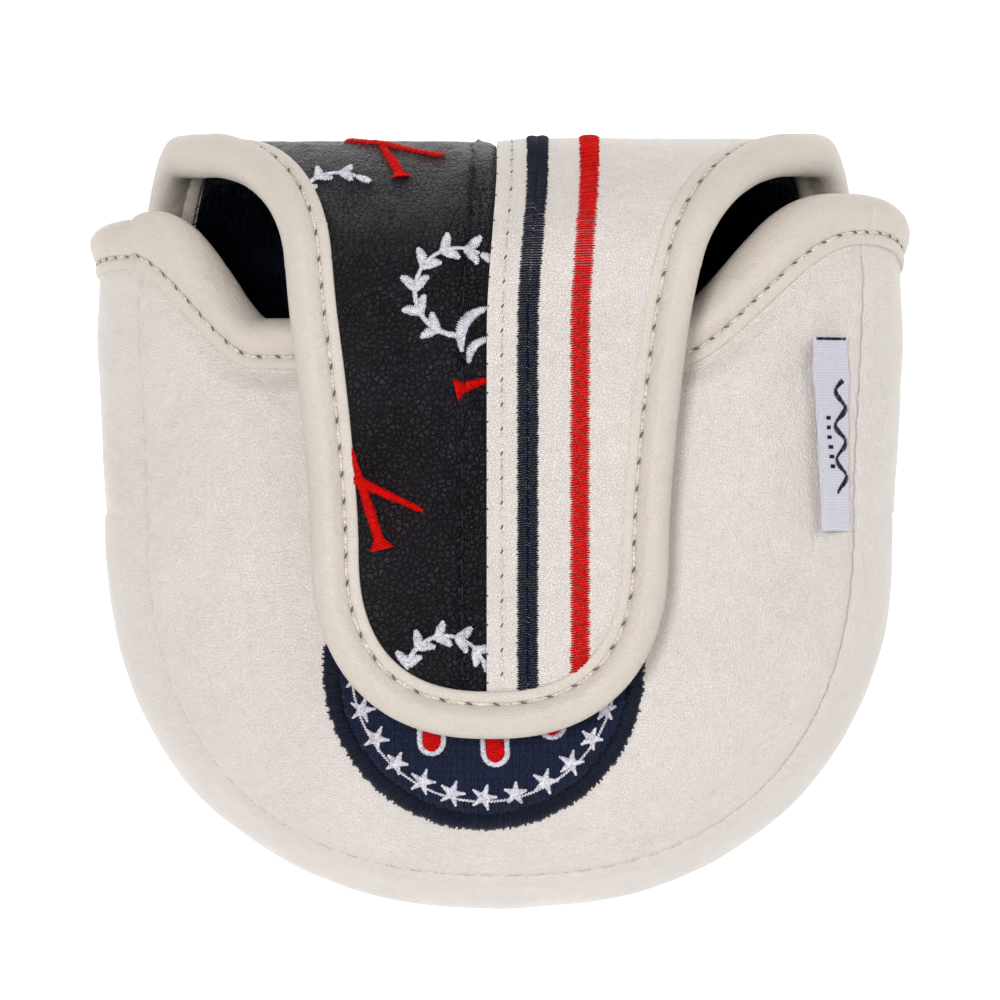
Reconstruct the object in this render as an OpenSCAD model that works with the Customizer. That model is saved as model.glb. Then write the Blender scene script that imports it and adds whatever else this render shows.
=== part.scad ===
// Mallet putter head cover, lying on its back with the magnetic flap closed.
// A padded leather pouch: front panel, gusset band and back panel, each of leather, foam and plush.
// The back panel rises behind the mouth and folds forward over the front panel as the flap.
// Millimetres. +Z points out of the front panel, +Y out of the mouth, and Z = 0 is the back it lies on.

/* [Front panel] */
// Half width of the front panel at its widest line
front_half_w = 56.5; // [54:0.5:58]
// Length from the widest line to the rounded end
front_end_l = 57.2; // [55:0.2:59]
// Squareness of the rounded end, 2 being an ellipse
front_power = 2.4; // [2.2:0.05:2.6]
// Height of the seam between front panel and gusset
front_seam_z = 33; // [30:1:35]
// Height of the front panel's crown
front_crown_z = 44; // [42:0.5:45]

/* [Gusset and back] */
// Half width of the pouch over the bulge of the gusset
pouch_half_w = 63; // [61:0.5:65]
// Length from the widest line to the end of the pouch
pouch_end_l = 62; // [61:0.2:64]
// Squareness of the pouch's outer outline
pouch_power = 2.25; // [2.1:0.05:2.5]
// Half width of the back panel
back_half_w = 58; // [56:0.5:60]
// Length from the widest line to the end of the back panel
back_end_l = 57.5; // [56:0.5:60]
// Height of the seam between back panel and gusset
back_seam_z = 7; // [6:0.5:8]
// Half width gained between the widest line and the mouth
mouth_flare = 1.5; // [0.5:0.25:2.5]

/* [Layers] */
// Thickness of the leather
leather_t = 1.2; // [1:0.1:1.4]
// Thickness of the foam in the pouch
foam_t = 2.8; // [2.4:0.2:3]
// Thickness of the plush lining in the pouch
lining_t = 3.5; // [3:0.25:4]
// Thickness of the foam in the flap
flap_foam_t = 2.2; // [2:0.1:2.4]
// Thickness of the board that stiffens the flap
board_t = 1.5; // [1.4:0.1:1.6]
// Thickness of the lining under the tongue
tongue_lining_t = 1.3; // [1:0.1:1.4]
// Thickness of the plush on the bridge
bridge_lining_t = 2.8; // [2:0.2:3]

/* [Mouth] */
// Where the collar's lower edge lies at the middle of the front panel
mouth_dip_y = 23.8; // [20:0.5:28]
// Where it lies at the left seam
mouth_left_y = 40.8; // [38:0.5:44]
// Where it lies at the right seam
mouth_right_y = 43.9; // [38:0.5:44]
// Where it lies at the back seams
mouth_back_y = 38; // [37:0.5:39]
// Half width where the left side starts to rise
left_rise_start = 39; // [25:1:42]
// Half width where the right side starts to rise
right_rise_start = 27; // [25:1:42]
// Width of the collar binding
collar_w = 8.2; // [7.8:0.1:8.6]

/* [Flap] */
// Height of the tongue's face
flap_z = 53; // [52.5:0.5:55]
// How far behind the widest line the flap reaches
flap_back_y = 60; // [58:1:62]
// Radius of the lower bend, from back panel to bridge
root_bend_r = 24; // [22:1:25]
// Radius of the upper bend, from bridge to tongue
fold_bend_r = 20; // [18:1:21]
// Distance from the widest line to the tongue's tip
tongue_tip_l = 35; // [33:1:37]
// Length of the tongue's rounded tip
tip_l = 30; // [28:1:32]
// Half width of the tongue
tongue_half_w = 28.4; // [27:0.2:30]
// Half width of the flap at the top of the upper bend
fold_half_w = 33; // [32:0.5:35]
// Half width of the flap where it leaves the pouch
root_half_w = 57; // [55:0.5:58]
// Sideways lean of the tongue
tongue_lean = -1.6; // [-2:0.2:2]
// Width of the flap binding
binding_w = 7.6; // [7:0.2:8]

/* [Trim] */
// Middle of the navy stripe, from the flap's middle
navy_stripe_x = 6; // [5:0.5:8]
// Middle of the red stripe, from the flap's middle
red_stripe_x = 14.3; // [12:0.1:15]
// Width of each satin stripe
stripe_w = 3.1; // [2.5:0.1:3.5]
// Radius of the round badge
badge_r = 25.6; // [23:0.2:26]
// Number of stars around the badge
star_count = 25; // [15:1:26]
// Diameter of each magnet
magnet_d = 12; // [8:1:12]

/* [Hidden] */

columns = 24;            // steps across a panel of the pouch
rows = 10;               // steps from a panel's rounded end to the mouth
wall_steps = 4;          // steps up the gusset
tuck = 5;                // how far leather and foam reach into a binding
slit = 0.15;             // play between a binding and the layers in it
cut_gap = 0.15;          // half the gap between the flap's parts at a bend
cut_reach = 8;           // how far from a cut the bindings start to turn along it
layer_gap = 0.3;         // play between foam and lining
dome_power = 3;          // the front panel stays flat in the middle and
dome_edge = 0.7;         // drops towards its seam
dish_power = 8;          // the back panel is flat up to its rounded rim
thread_r = 0.35;
stitch_l = 2.9;
stitch_pitch = 4.3;
binding_proud = 1.6;     // how far a binding's roll stands above the leather

pouch_wall = leather_t + foam_t;
flap_wall = leather_t + flap_foam_t;
mouth_half_w = front_half_w + mouth_flare;

// ---------- small helpers ----------
function lerp(a, b, t) = a + (b - a) * t;
function smooth(t) = let (c = min(1, max(0, t))) c * c * (3 - 2 * c);
function signed_pow(v, p) = sign(v) * pow(abs(v), p);
function dir3(a) = a / norm(a);

// A closed skin between two grids of points that have the same rows and columns.
// Seen from outside, the outer grid's columns run clockwise round its rows.
module skin(outer, inner) {
    r = len(outer);
    c = len(outer[0]);
    function at(k, i, j) = k * r * c + i * c + j;
    function quad(a, b, d, e) = [[a, b, d], [a, d, e]];
    faces = [
        for (i = [0:r - 2], j = [0:c - 2])
            each quad(at(0, i, j), at(0, i, j + 1), at(0, i + 1, j + 1), at(0, i + 1, j)),
        for (i = [0:r - 2], j = [0:c - 2])
            each [
                [at(1, i, j), at(1, i + 1, j + 1), at(1, i, j + 1)],
                [at(1, i, j), at(1, i + 1, j), at(1, i + 1, j + 1)]
            ],
        for (j = [0:c - 2])
            each quad(at(0, 0, j + 1), at(0, 0, j), at(1, 0, j), at(1, 0, j + 1)),
        for (j = [0:c - 2])
            each quad(at(0, r - 1, j), at(0, r - 1, j + 1), at(1, r - 1, j + 1), at(1, r - 1, j)),
        for (i = [0:r - 2])
            each quad(at(0, i, 0), at(0, i + 1, 0), at(1, i + 1, 0), at(1, i, 0)),
        for (i = [0:r - 2])
            each quad(at(0, i + 1, c - 1), at(0, i, c - 1), at(1, i, c - 1), at(1, i + 1, c - 1))
    ];
    polyhedron([for (g = [outer, inner], row = g) each row], faces);
}

// A straight stitch from one point to another.
module stitch(a, b) {
    v = b - a;
    translate(a)
        rotate([0, acos(v[2] / norm(v)), atan2(v[1], v[0])])
            cylinder(r = thread_r, h = norm(v), $fn = 16);
}

// ---------- pouch ----------
function flare(y) = mouth_flare * smooth(y / 40);
function row_share(j) = pow(j / rows, 1.6);
function column_angle(i) = 180 + 180 * i / columns;
function column_share(i) = signed_pow(cos(column_angle(i)), 2 / front_power);

function mouth_side(x) = x < 0 ? [left_rise_start, 61, mouth_left_y] : [right_rise_start, 57.5, mouth_right_y];
function mouth_line(x) =
    let (side = mouth_side(x))
    lerp(mouth_dip_y, side[2], smooth((abs(x) - side[0]) / (side[1] - side[0])));

// Place across the front's mouth, shifted by e towards the opening.
function front_mouth(share, e) =
    let (
        x = share * mouth_half_w,
        slope = mouth_line(x + 0.5) - mouth_line(x - 0.5)
    )
    mouth_line(x) + e * sqrt(1 + slope * slope);

function wall_mouth(side, g, e) = lerp(front_mouth(side, 0), mouth_back_y, smooth(g)) + e;

// A point of the front panel at depth d, from its share of the half width.
function front_point(share, y, d) =
    let (
        away = y >= 0 ? 0 : pow(-y / (front_end_l - d), front_power),
        rho = min(1, pow(pow(abs(share), front_power) + away, 1 / front_power))
    )
    [
        share * (front_half_w + flare(y) - d),
        y,
        lerp(front_seam_z, front_crown_z - d, pow(1 - pow(rho, dome_power), dome_edge))
    ];

function front_at(x, y, d) = front_point(x / (front_half_w + flare(y) - d), y, d);

function front_grid(d, e, dent = 0) = [
    for (j = [0:rows]) [
        for (i = [0:columns])
            let (
                share = column_share(i),
                end_y = -(front_end_l - d) * pow(abs(sin(column_angle(i))), 2 / front_power),
                y = lerp(end_y, front_mouth(share, e), row_share(j)),
                in_pocket = abs(share) < 0.34 && y > -28 && y < -5
            )
            front_point(share, y, d) - [0, 0, in_pocket ? dent : 0]
    ]
];

// The outline of the pouch at one level: the widest line's sides run straight to the mouth.
function outline(side, y, angle, half_w, end_l, power) =
    side == 0
        ? [half_w * signed_pow(cos(angle), 2 / power), end_l * signed_pow(sin(angle), 2 / power)]
        : [side * (half_w + flare(y)), y];

// A point of the gusset, from the front seam (g = 0) to the back seam (g = 1).
function wall_point(side, y, angle, g, d) =
    let (
        front = outline(side, y, angle, front_half_w - d, front_end_l - d, front_power),
        back = outline(side, y, angle, back_half_w - d, back_end_l - d, front_power),
        bulge = outline(side, y, angle, pouch_half_w - d, pouch_end_l - d, pouch_power),
        out = pow(4 * g * (1 - g), 0.8),
        xy = lerp(front, back, g) + out * (bulge - (front + back) / 2)
    )
    [xy[0], xy[1], lerp(front_seam_z, back_seam_z, g)];

function gusset_grid(d, e) = [
    for (k = [0:wall_steps])
        let (g = k / wall_steps)
        [
            for (q = [0:2 * rows + columns])
                let (
                    side = q < rows ? -1 : q > rows + columns ? 1 : 0,
                    j = side < 0 ? rows - q : q - rows - columns,
                    y = side == 0 ? 0 : row_share(j) * wall_mouth(side, g, e)
                )
                wall_point(side, y, column_angle(q - rows), g, d)
        ]
];

// ---------- path of back panel, bridge and tongue, seen from the side ----------
root_start = flap_back_y - root_bend_r;
root_end = root_start + root_bend_r * PI / 2;
fold_start = root_end + flap_z - fold_bend_r - root_bend_r;
fold_end = fold_start + fold_bend_r * PI / 2;
fold_y = flap_back_y - fold_bend_r;
tip_start = fold_end + fold_y + tongue_tip_l - tip_l;
tip_power = 2.35;
root_cut = (root_start + root_end) / 2;
fold_cut = (fold_start + fold_end) / 2;

// Place [y, z] and outward normal [ny, nz] at a distance s along the path's face.
function path(s) =
    s < root_start ? [s, 0, 0, -1]
    : s < root_end
        ? let (a = (s - root_start) / root_bend_r * 180 / PI)
          [root_start + root_bend_r * sin(a), root_bend_r * (1 - cos(a)), sin(a), -cos(a)]
    : s < fold_start ? [flap_back_y, root_bend_r + s - root_end, 1, 0]
    : s < fold_end
        ? let (a = (s - fold_start) / fold_bend_r * 180 / PI)
          [fold_y + fold_bend_r * cos(a), flap_z - fold_bend_r * (1 - sin(a)), cos(a), sin(a)]
    : [fold_y - (s - fold_end), flap_z, 0, 1];

function flap_point(x, s, d) = let (p = path(s)) [x, p[0] - d * p[2], p[1] - d * p[3]];
function flap_mid(s) = tongue_lean * smooth((s - 95) / 30);

function flap_half_w(s) =
    s > tip_start
        ? tongue_half_w * pow(1 - pow(min(1, (s - tip_start) / tip_l), tip_power), 1 / tip_power)
    : s > fold_end
        ? lerp(tongue_half_w, fold_half_w, pow((tip_start - s) / (tip_start - fold_end), 1.5))
    : lerp(fold_half_w, lerp(root_half_w - 2.7, root_half_w, (root_end - s) / (root_end - root_cut)),
           smooth((fold_end + 2 - s) / (fold_end + 4 - root_end)));

// Half width at a distance m inside the flap's edge.
function flap_inset_w(s, m) =
    let (slope = flap_half_w(s + 0.5) - flap_half_w(s - 0.5))
    s > tip_start
        ? (tongue_half_w - m) * pow(max(0, 1 - pow((s - tip_start) / (tip_l - m), tip_power)), 1 / tip_power)
        : flap_half_w(s) - m * sqrt(1 + slope * slope);

// ---------- back panel ----------
function path_at_y(y) =
    y < root_start ? y : root_start + root_bend_r * asin((y - root_start) / root_bend_r) * PI / 180;

// A point of the back panel at height d over its face. Its rim rises to the seam with the gusset,
// and past the mouth it narrows into the bridge.
function back_point(share, s, d, mouth_s, m) =
    let (
        p = path(s),
        joined = 1 - smooth((s - mouth_s - 0.3) / 3),
        end = s < 0 ? pow(-s / (back_end_l - d), front_power) : 0,
        rho = min(1, pow(pow(abs(share), front_power) + end, 1 / front_power)),
        rim = joined * pow(rho, dish_power),
        half_w = lerp(flap_inset_w(s, m), back_half_w + flare(p[0]) - d, joined),
        lift = d * (1 - rim)
    )
    [
        share * half_w,
        p[0] - (1 - joined) * lift * p[2],
        p[1] - lift * lerp(p[3], -1, joined) + rim * (back_seam_z - p[1])
    ];

function back_grid(d, e, m) =
    let (mouth_s = path_at_y(mouth_back_y + e))
    concat(
        [
            for (j = [0:rows]) [
                for (i = [0:columns])
                    let (
                        end_y = -(back_end_l - d) * pow(abs(sin(column_angle(i))), 2 / front_power),
                        y = lerp(end_y, mouth_back_y + e, row_share(j))
                    )
                    back_point(column_share(i), path_at_y(y), d, mouth_s, m)
            ]
        ],
        [
            for (s = [mouth_s + 1.8, mouth_s + 3.4, (mouth_s + 3.4 + root_cut) / 2, root_cut - cut_gap])
                [for (i = [0:columns]) back_point(column_share(i), s, d, mouth_s, m)]
        ]
    );

// ---------- bindings ----------
// Face and slot of a folded binding of width w over layers of thickness t, as [across, depth].
function binding_face(w, t) = [
    [0, -0.9], [2, -1.1], [4, -binding_proud], [w - 1, -0.8], [w, t / 2],
    [w - 1, t + 0.8], [4, t + binding_proud], [2, t + 1.1], [0, t + 0.9]
];
function binding_slot(w, t) = [
    [0, -slit], [2, -slit], [4, -slit], [w - 2, -slit], [w - 2, t / 2],
    [w - 2, t + slit], [4, t + slit], [2, t + slit], [0, t + slit]
];

// A binding along the flap's edge: each edge point is [x, s] with the inward direction [dx, ds].
module flap_edge_binding(edge) {
    function ring(p, profile) = [
        for (q = profile)
            flap_point(p[0] + (binding_w - q[0]) * p[2], p[1] + (binding_w - q[0]) * p[3], q[1])
    ];
    skin(
        [for (p = edge) ring(p, binding_face(binding_w, flap_wall))],
        [for (p = edge) ring(p, binding_slot(binding_w, flap_wall))]
    );
}

// How far the binding's direction has turned along the nearest cut, 1 being all the way.
function at_cut(s) = max(0, 1 - min(abs(s - root_cut), abs(s - fold_cut)) / cut_reach);

// A point of the flap's long edge with its inward direction.
function side_edge(side, s) =
    let (
        slope = flap_half_w(s + 0.5) - flap_half_w(s - 0.5),
        l = sqrt(1 + slope * slope)
    )
    [flap_mid(s) + side * flap_half_w(s), s, -side * lerp(1 / l, l, at_cut(s)), slope / l * (1 - at_cut(s))];

// A point of the tongue's rounded tip, from -90 at the left to 90 at the right.
function tip_edge(a) =
    let (
        x = tongue_half_w * signed_pow(sin(a), 2 / tip_power),
        s = tip_l * pow(cos(a), 2 / tip_power),
        n = dir3([
            signed_pow(x / tongue_half_w, tip_power - 1) / tongue_half_w,
            pow(s / tip_l, tip_power - 1) / tip_l
        ])
    )
    [tongue_lean + x, tip_start + s, -n[0], -n[1]];

bridge_s = [for (t = [0:1 / 4:1]) lerp(root_cut + cut_gap, root_end, t)];
upper_s = [for (t = [0:1 / 4:1]) lerp(fold_start, fold_cut - cut_gap, t)];
bridge_rows = concat(bridge_s, upper_s);
bend_rows = [for (t = [0:1 / 4:1]) lerp(fold_cut + cut_gap, fold_end, t)];
flat_rows = [for (t = [1 / 5:1 / 5:1.01]) lerp(fold_end, tip_start, t)];
function tongue_rows(m) =
    concat(bend_rows, flat_rows, [for (a = [15:12:87]) tip_start + (tip_l - m) * sin(a)]);

// A layer of the flap between depths d1 and d2, between two sides given as functions of s.
module flap_layer(rows_s, left, right, steps, d1, d2) {
    function level(d) = [
        for (s = rows_s) [
            for (k = [0:steps])
                flap_point(flap_mid(s) + lerp(left(s), right(s), k / steps), s, d)
        ]
    ];
    skin(level(d1), level(d2));
}

edge_in = binding_w - tuck;      // leather and foam end this far inside the flap's edge
lining_in = binding_w + 0.8;     // linings end beside the binding
split_x = -0.5;                  // where the white panel meets the black one

module dark_side(rows_s) {
    flap_layer(rows_s, function (s) -flap_inset_w(s, edge_in),
               function (s) min(split_x - 0.05, flap_inset_w(s, edge_in)), 3, 0, leather_t);
}
module light_side(rows_s) {
    flap_layer(rows_s, function (s) max(split_x + 0.05, -flap_inset_w(s, edge_in)),
               function (s) flap_inset_w(s, edge_in), 3, 0, leather_t);
}
module full_layer(rows_s, m, d1, d2) {
    flap_layer(rows_s, function (s) -flap_inset_w(s, m), function (s) flap_inset_w(s, m), 6, d1, d2);
}
module stripe(rows_s, x) {
    flap_layer(rows_s, function (s) x - stripe_w / 2, function (s) x + stripe_w / 2, 1, -0.45, -0.05);
}

// ---------- pouch parts ----------
module pouch_front(d1, d2, e, dent = 0) {
    skin(front_grid(d2, e, dent), front_grid(d1, e, dent));
}
module pouch_gusset(d1, d2, e) {
    skin(gusset_grid(d1, e), gusset_grid(d2, e));
}
module pouch_back(d1, d2, e, m) {
    skin(back_grid(d2, e, m), back_grid(d1, e, m));
}

module front_panel() { color("ivory") pouch_front(0, leather_t, tuck); }
module front_foam() { color("gainsboro") pouch_front(leather_t, pouch_wall, tuck); }
module front_lining() {
    color("midnightblue") pouch_front(pouch_wall + layer_gap, pouch_wall + lining_t, -0.3, board_t + 0.8);
}
module gusset() { color("linen") pouch_gusset(0, leather_t, tuck); }
module gusset_foam() { color("gainsboro") pouch_gusset(leather_t, pouch_wall, tuck); }
module gusset_lining() {
    color("midnightblue") pouch_gusset(pouch_wall + layer_gap, pouch_wall + lining_t, -0.3);
}
module back_panel() { color("ivory") pouch_back(0, leather_t, tuck, edge_in); }
module back_foam() { color("gainsboro") pouch_back(leather_t, flap_wall, tuck, edge_in); }
module back_lining() {
    color("midnightblue") pouch_back(flap_wall + layer_gap, flap_wall + lining_t, tuck, lining_in);
}

// The collar folds over the mouth edge of gusset and front panel.
collar_stations = concat(
    [for (k = [0:wall_steps - 1]) [-1, 0.99 - k / wall_steps]],
    [for (i = [0:columns]) [0, column_share(i)]],
    [for (k = [1:wall_steps]) [1, k / wall_steps - 0.01]]
);
function collar_point(station, e, d) =
    station[0] == 0
        ? front_point(station[1], front_mouth(station[1], e), d)
        : wall_point(station[0], wall_mouth(station[0], station[1], e), 0, station[1], d);
module collar_binding() {
    color("cornsilk") skin(
        [for (v = collar_stations) [for (q = binding_face(collar_w, pouch_wall)) collar_point(v, q[0], q[1])]],
        [for (v = collar_stations) [for (q = binding_slot(collar_w, pouch_wall)) collar_point(v, q[0], q[1])]]
    );
}
module collar_thread() {
    lift = -1.25 - thread_r;
    function at(x) = collar_point([0, x / mouth_half_w], 2, lift);
    color("silver") for (x = [-55:3:52]) stitch(at(x), at(x + 2));
}
module shoulder_binding() {
    first = path_at_y(mouth_back_y + collar_w + 2);
    color("cornsilk") for (side = [-1, 1])
        flap_edge_binding([for (t = side < 0 ? [0:1 / 3:1] : [1:-1 / 3:0])
                               side_edge(side, lerp(first, root_cut - cut_gap, t))]);
}

// Lock stitches along the seam between the gusset and a panel, at g = 0 or 1 on the gusset.
module seam_thread(g) {
    function along(side, y, angle) = wall_point(side, y, angle, g, -thread_r - 0.15);
    color("linen") {
        for (a = [184:4:354]) stitch(along(0, 0, a), along(0, 0, a + 2.6));
        for (side = [-1, 1], y = [2:stitch_pitch:mouth_back_y - 5])
            stitch(along(side, y, 0), along(side, y + stitch_l, 0));
    }
}
module front_seam_thread() { seam_thread(0); }
module back_seam_thread() { seam_thread(1); }

// Woven label caught in the right-hand seam. It lies along the panel and lifts at its free edge.
label_l = 31;
label_y = 13.5;
label_t = 0.5;
label_shares = [0.985, 0.95, 0.91, 0.87];
module side_label() {
    function level(d) = [
        for (t = [0:1 / 8:1]) [
            for (k = [0:3])
                front_point(label_shares[k], label_y + label_l * (t - 0.5), d - 0.5 * k)
        ]
    ];
    color("lavender") skin(level(-0.3), level(-0.3 - label_t));
}

// ---------- badge on the front panel ----------
badge_x = -2.6;
badge_y = -24.2;
border_w = 2.7;
base_top = -0.6;
function badge_point(x, y, d) = front_at(badge_x + x, badge_y + y, d);
module on_badge(x, y) {
    p = badge_point(x, y, base_top - 0.05);
    n = cross(badge_point(x + 0.5, y, base_top) - badge_point(x - 0.5, y, base_top),
              badge_point(x, y + 0.5, base_top) - badge_point(x, y - 0.5, base_top));
    v = dir3(n);
    translate(p) rotate([-asin(v[1]), atan2(v[0], v[2]), 0]) children();
}
module badge_base() {
    r = badge_r - border_w - 0.05;
    function level(d) = [
        for (a = [-84:14:84]) [for (k = [-1:1 / 4:1]) badge_point(k * r * cos(a), r * sin(a), d)]
    ];
    color("navy") skin(level(base_top), level(-0.1));
}
module badge_border() {
    function arc(a0, r, d) = badge_point(r * cos(a0), r * sin(a0), d);
    function level(top, first, last) = [
        for (a = [first:7.5:last]) [
            for (t = [0:1 / 3:1])
                arc(a, badge_r - border_w * t, top ? -0.1 - 1.0 * sin(25 + 130 * t) : -0.1)
        ]
    ];
    color("navy") for (first = [0, 180])
        skin(level(false, first, first + 180), level(true, first, first + 180));
}
module star(r) {
    polygon([for (k = [0:9]) let (q = k % 2 == 0 ? r : 0.45 * r) [q * sin(36 * k), q * cos(36 * k)]]);
}
module badge_stars() {
    ring_r = 20.3;
    color("white") for (k = [0:star_count - 1])
        on_badge(ring_r * sin(360 * k / star_count), -ring_r * cos(360 * k / star_count))
            linear_extrude(height = 0.4) rotate(-360 * k / star_count) star(2.1);
}
// Each bar is [x, length, tilt], with its low end at low_y.
bars = [[-8.3, 19, 0, -13.6], [1.3, 21, 4, -15.4], [10.9, 17, 0, -11]];
module bar_shape(l, w) {
    translate([-w / 2, w / 2]) square([w, l - w]);
    for (y = [w / 2, l - w / 2]) translate([0, y]) circle(d = w, $fn = 32);
}
module place_bar(b) {
    on_badge(b[0], b[3] + b[1] / 2) rotate(b[2]) translate([0, -b[1] / 2, 0.3]) children();
}
module badge_bars() {
    color("red") for (b = bars) place_bar(b)
        linear_extrude(height = 0.45) translate([0, 0.7]) bar_shape(b[1] - 1.4, 3.1);
}
module badge_bar_outlines() {
    color("white") for (b = bars) place_bar(b) linear_extrude(height = 0.35) difference() {
        bar_shape(b[1], 4.5);
        translate([0, 0.65]) bar_shape(b[1] - 1.3, 3.2);
    }
}

// ---------- magnets ----------
magnet_y = -16;
magnet_x = 9;
module magnet_discs(z) {
    color("dimgray") for (side = [-1, 1])
        translate([tongue_lean + side * magnet_x, magnet_y, z]) cylinder(d = magnet_d, h = board_t - 0.1, $fn = 48);
}
module magnet_holes() {
    for (side = [-1, 1]) translate([tongue_lean + side * magnet_x, magnet_y, -1])
        cylinder(d = magnet_d + 0.3, h = board_t + 2, $fn = 48);
}
body_board_z = 37.75;
module body_magnets() { magnet_discs(body_board_z + 0.05); }
module body_magnet_board() {
    color("tan") translate([0, 0, body_board_z]) difference() {
        translate([tongue_lean - 16, magnet_y - 7.5, 0]) cube([32, 15, board_t]);
        magnet_holes();
    }
}

// ---------- bridge ----------
module bridge_black_panel() { color("darkslategray") dark_side(bridge_rows); }
module bridge_white_panel() { color("ivory") light_side(bridge_rows); }
module bridge_navy_stripe() { color("navy") stripe(bridge_rows, navy_stripe_x); }
module bridge_red_stripe() { color("red") stripe(bridge_rows, red_stripe_x); }
module bridge_foam() { color("gainsboro") full_layer(bridge_rows, edge_in, leather_t, flap_wall); }
module bridge_lining() {
    color("midnightblue") full_layer(bridge_rows, lining_in, flap_wall, flap_wall + bridge_lining_t);
}
module bridge_binding() {
    color("cornsilk") {
        flap_edge_binding([for (s = bridge_rows) side_edge(-1, s)]);
        flap_edge_binding([for (k = [len(bridge_rows) - 1:-1:0]) side_edge(1, bridge_rows[k])]);
    }
}
module edge_stitch(e0, e1) {
    function at(e) = flap_point(e[0] + (binding_w - 2) * e[2], e[1] + (binding_w - 2) * e[3], -1.2 - thread_r);
    stitch(at(e0), at(e1));
}
module bridge_binding_thread() {
    color("silver") for (side = [-1, 1], s = [root_cut + 1:stitch_pitch:fold_cut - stitch_l])
        edge_stitch(side_edge(side, s), side_edge(side, s + stitch_l));
}

// ---------- tongue ----------
module flap_black_panel() { color("darkslategray") dark_side(tongue_rows(edge_in)); }
module flap_white_panel() { color("ivory") light_side(tongue_rows(edge_in)); }
stripe_rows = concat(bend_rows, [tip_start, tip_start + 16]);
module flap_navy_stripe() { color("navy") stripe(concat(stripe_rows, [tip_start + tip_l - 9]), navy_stripe_x); }
module flap_red_stripe() { color("red") stripe(stripe_rows, red_stripe_x); }
module flap_foam() { color("gainsboro") full_layer(tongue_rows(edge_in), edge_in, leather_t, flap_wall); }
module flap_lining() {
    top = flap_wall + board_t;
    color("midnightblue") full_layer(tongue_rows(lining_in), lining_in, top, top + tongue_lining_t);
}
flap_board_z = flap_z - flap_wall - board_t + 0.05;
module flap_board() {
    m = lining_in + 1;
    from_s = fold_end + 3;
    flat = concat(
        [for (s = [from_s:(tip_start - from_s) / 4:tip_start]) [flap_half_w(s) - m, s]],
        [for (a = [75:-15:0]) [(tongue_half_w - m) * pow(sin(a), 2 / tip_power),
                              tip_start + (tip_l - m) * pow(cos(a), 2 / tip_power)]]
    );
    right = [for (p = flat) [flap_mid(p[1]) + p[0], path(p[1])[0]]];
    left = [for (k = [len(flat) - 2:-1:0]) [flap_mid(flat[k][1]) - flat[k][0], path(flat[k][1])[0]]];
    color("tan") translate([0, 0, flap_board_z]) difference() {
        linear_extrude(height = board_t - 0.1) polygon(concat(right, left));
        magnet_holes();
    }
}
module flap_magnets() { magnet_discs(flap_board_z); }
module flap_binding() {
    long = concat(bend_rows, flat_rows);
    color("cornsilk") flap_edge_binding(concat(
        [for (s = long) side_edge(-1, s)],
        [for (a = [-75:12.5:75]) tip_edge(a)],
        [for (k = [len(long) - 1:-1:0]) side_edge(1, long[k])]
    ));
}
module flap_binding_thread() {
    color("silver") {
        for (side = [-1, 1], s = [fold_cut + 1:stitch_pitch:tip_start - stitch_l])
            edge_stitch(side_edge(side, s), side_edge(side, s + stitch_l));
        for (a = [-84:9:80]) edge_stitch(tip_edge(a), tip_edge(a + 5.6));
    }
}
module flap_seam_thread() {
    lift = -0.05 - thread_r;
    function at(x, s) = flap_point(flap_mid(s) + x, s, lift);
    color("gray") for (x = [1.9, -3.7], s = [fold_cut + 1:stitch_pitch:tip_start + tip_l - 12])
        stitch(at(x, s), at(x, s + stitch_l));
}

// ---------- embroidery on the tongue ----------
// A golf tee from its point at the origin, along +Y.
module tee_shape(l) {
    polygon([
        [-0.3, 0], [0.3, 0], [0.8, l * 0.75], [2.1, l - 1.2], [2.1, l],
        [-2.1, l], [-2.1, l - 1.2], [-0.8, l * 0.75]
    ]);
}
tees = [[-12.1, 1.1, 60, 10.8], [-21.6, 5.4, -145, 11.5], [-2.9, 21, 90, 5.2]];
module tee_embroidery() {
    color("red") for (k = [0:len(tees) - 1])
        translate([tees[k][0], tees[k][1], flap_z + 0.06]) rotate(tees[k][2])
            linear_extrude(height = 0.4 + 0.01 * k) tee_shape(tees[k][3]);
}
// Loops of a plain flourish, each [x, y, radius, first angle, swept angle].
flourishes = [[-9.7, 38, 4.8, 60, 250], [-9.7, 29.3, 3.2, 160, 250], [-10.6, -18.5, 4, 20, 200]];
module flourish_embroidery() {
    color("white") for (f = flourishes)
        translate([f[0], f[1], flap_z + 0.06]) rotate(f[3])
            rotate_extrude(angle = f[4], $fn = 48) translate([f[2] - 0.6, 0]) square([1.2, 0.45]);
}

front_panel();
front_foam();
front_lining();
gusset();
gusset_foam();
gusset_lining();
back_panel();
back_foam();
back_lining();
collar_binding();
collar_thread();
shoulder_binding();
front_seam_thread();
back_seam_thread();
side_label();
badge_base();
badge_border();
badge_stars();
badge_bars();
badge_bar_outlines();
body_magnets();
body_magnet_board();
bridge_black_panel();
bridge_white_panel();
bridge_navy_stripe();
bridge_red_stripe();
bridge_foam();
bridge_lining();
bridge_binding();
bridge_binding_thread();
flap_black_panel();
flap_white_panel();
flap_navy_stripe();
flap_red_stripe();
flap_foam();
flap_board();
flap_lining();
flap_magnets();
flap_binding();
flap_binding_thread();
flap_seam_thread();
tee_embroidery();
flourish_embroidery();
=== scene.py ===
"""Looks of the mallet putter head cover: padded leather, bindings, embroidery and plush.

Shapes repeat the design's formulas at a finer step. They are in millimetres until a mesh is made.
+Z points out of the front panel, +Y out of the mouth, and a depth d runs from a face inwards.
"""

import math

import bmesh
import bpy
import numpy as np
from mathutils import Matrix, Vector


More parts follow.
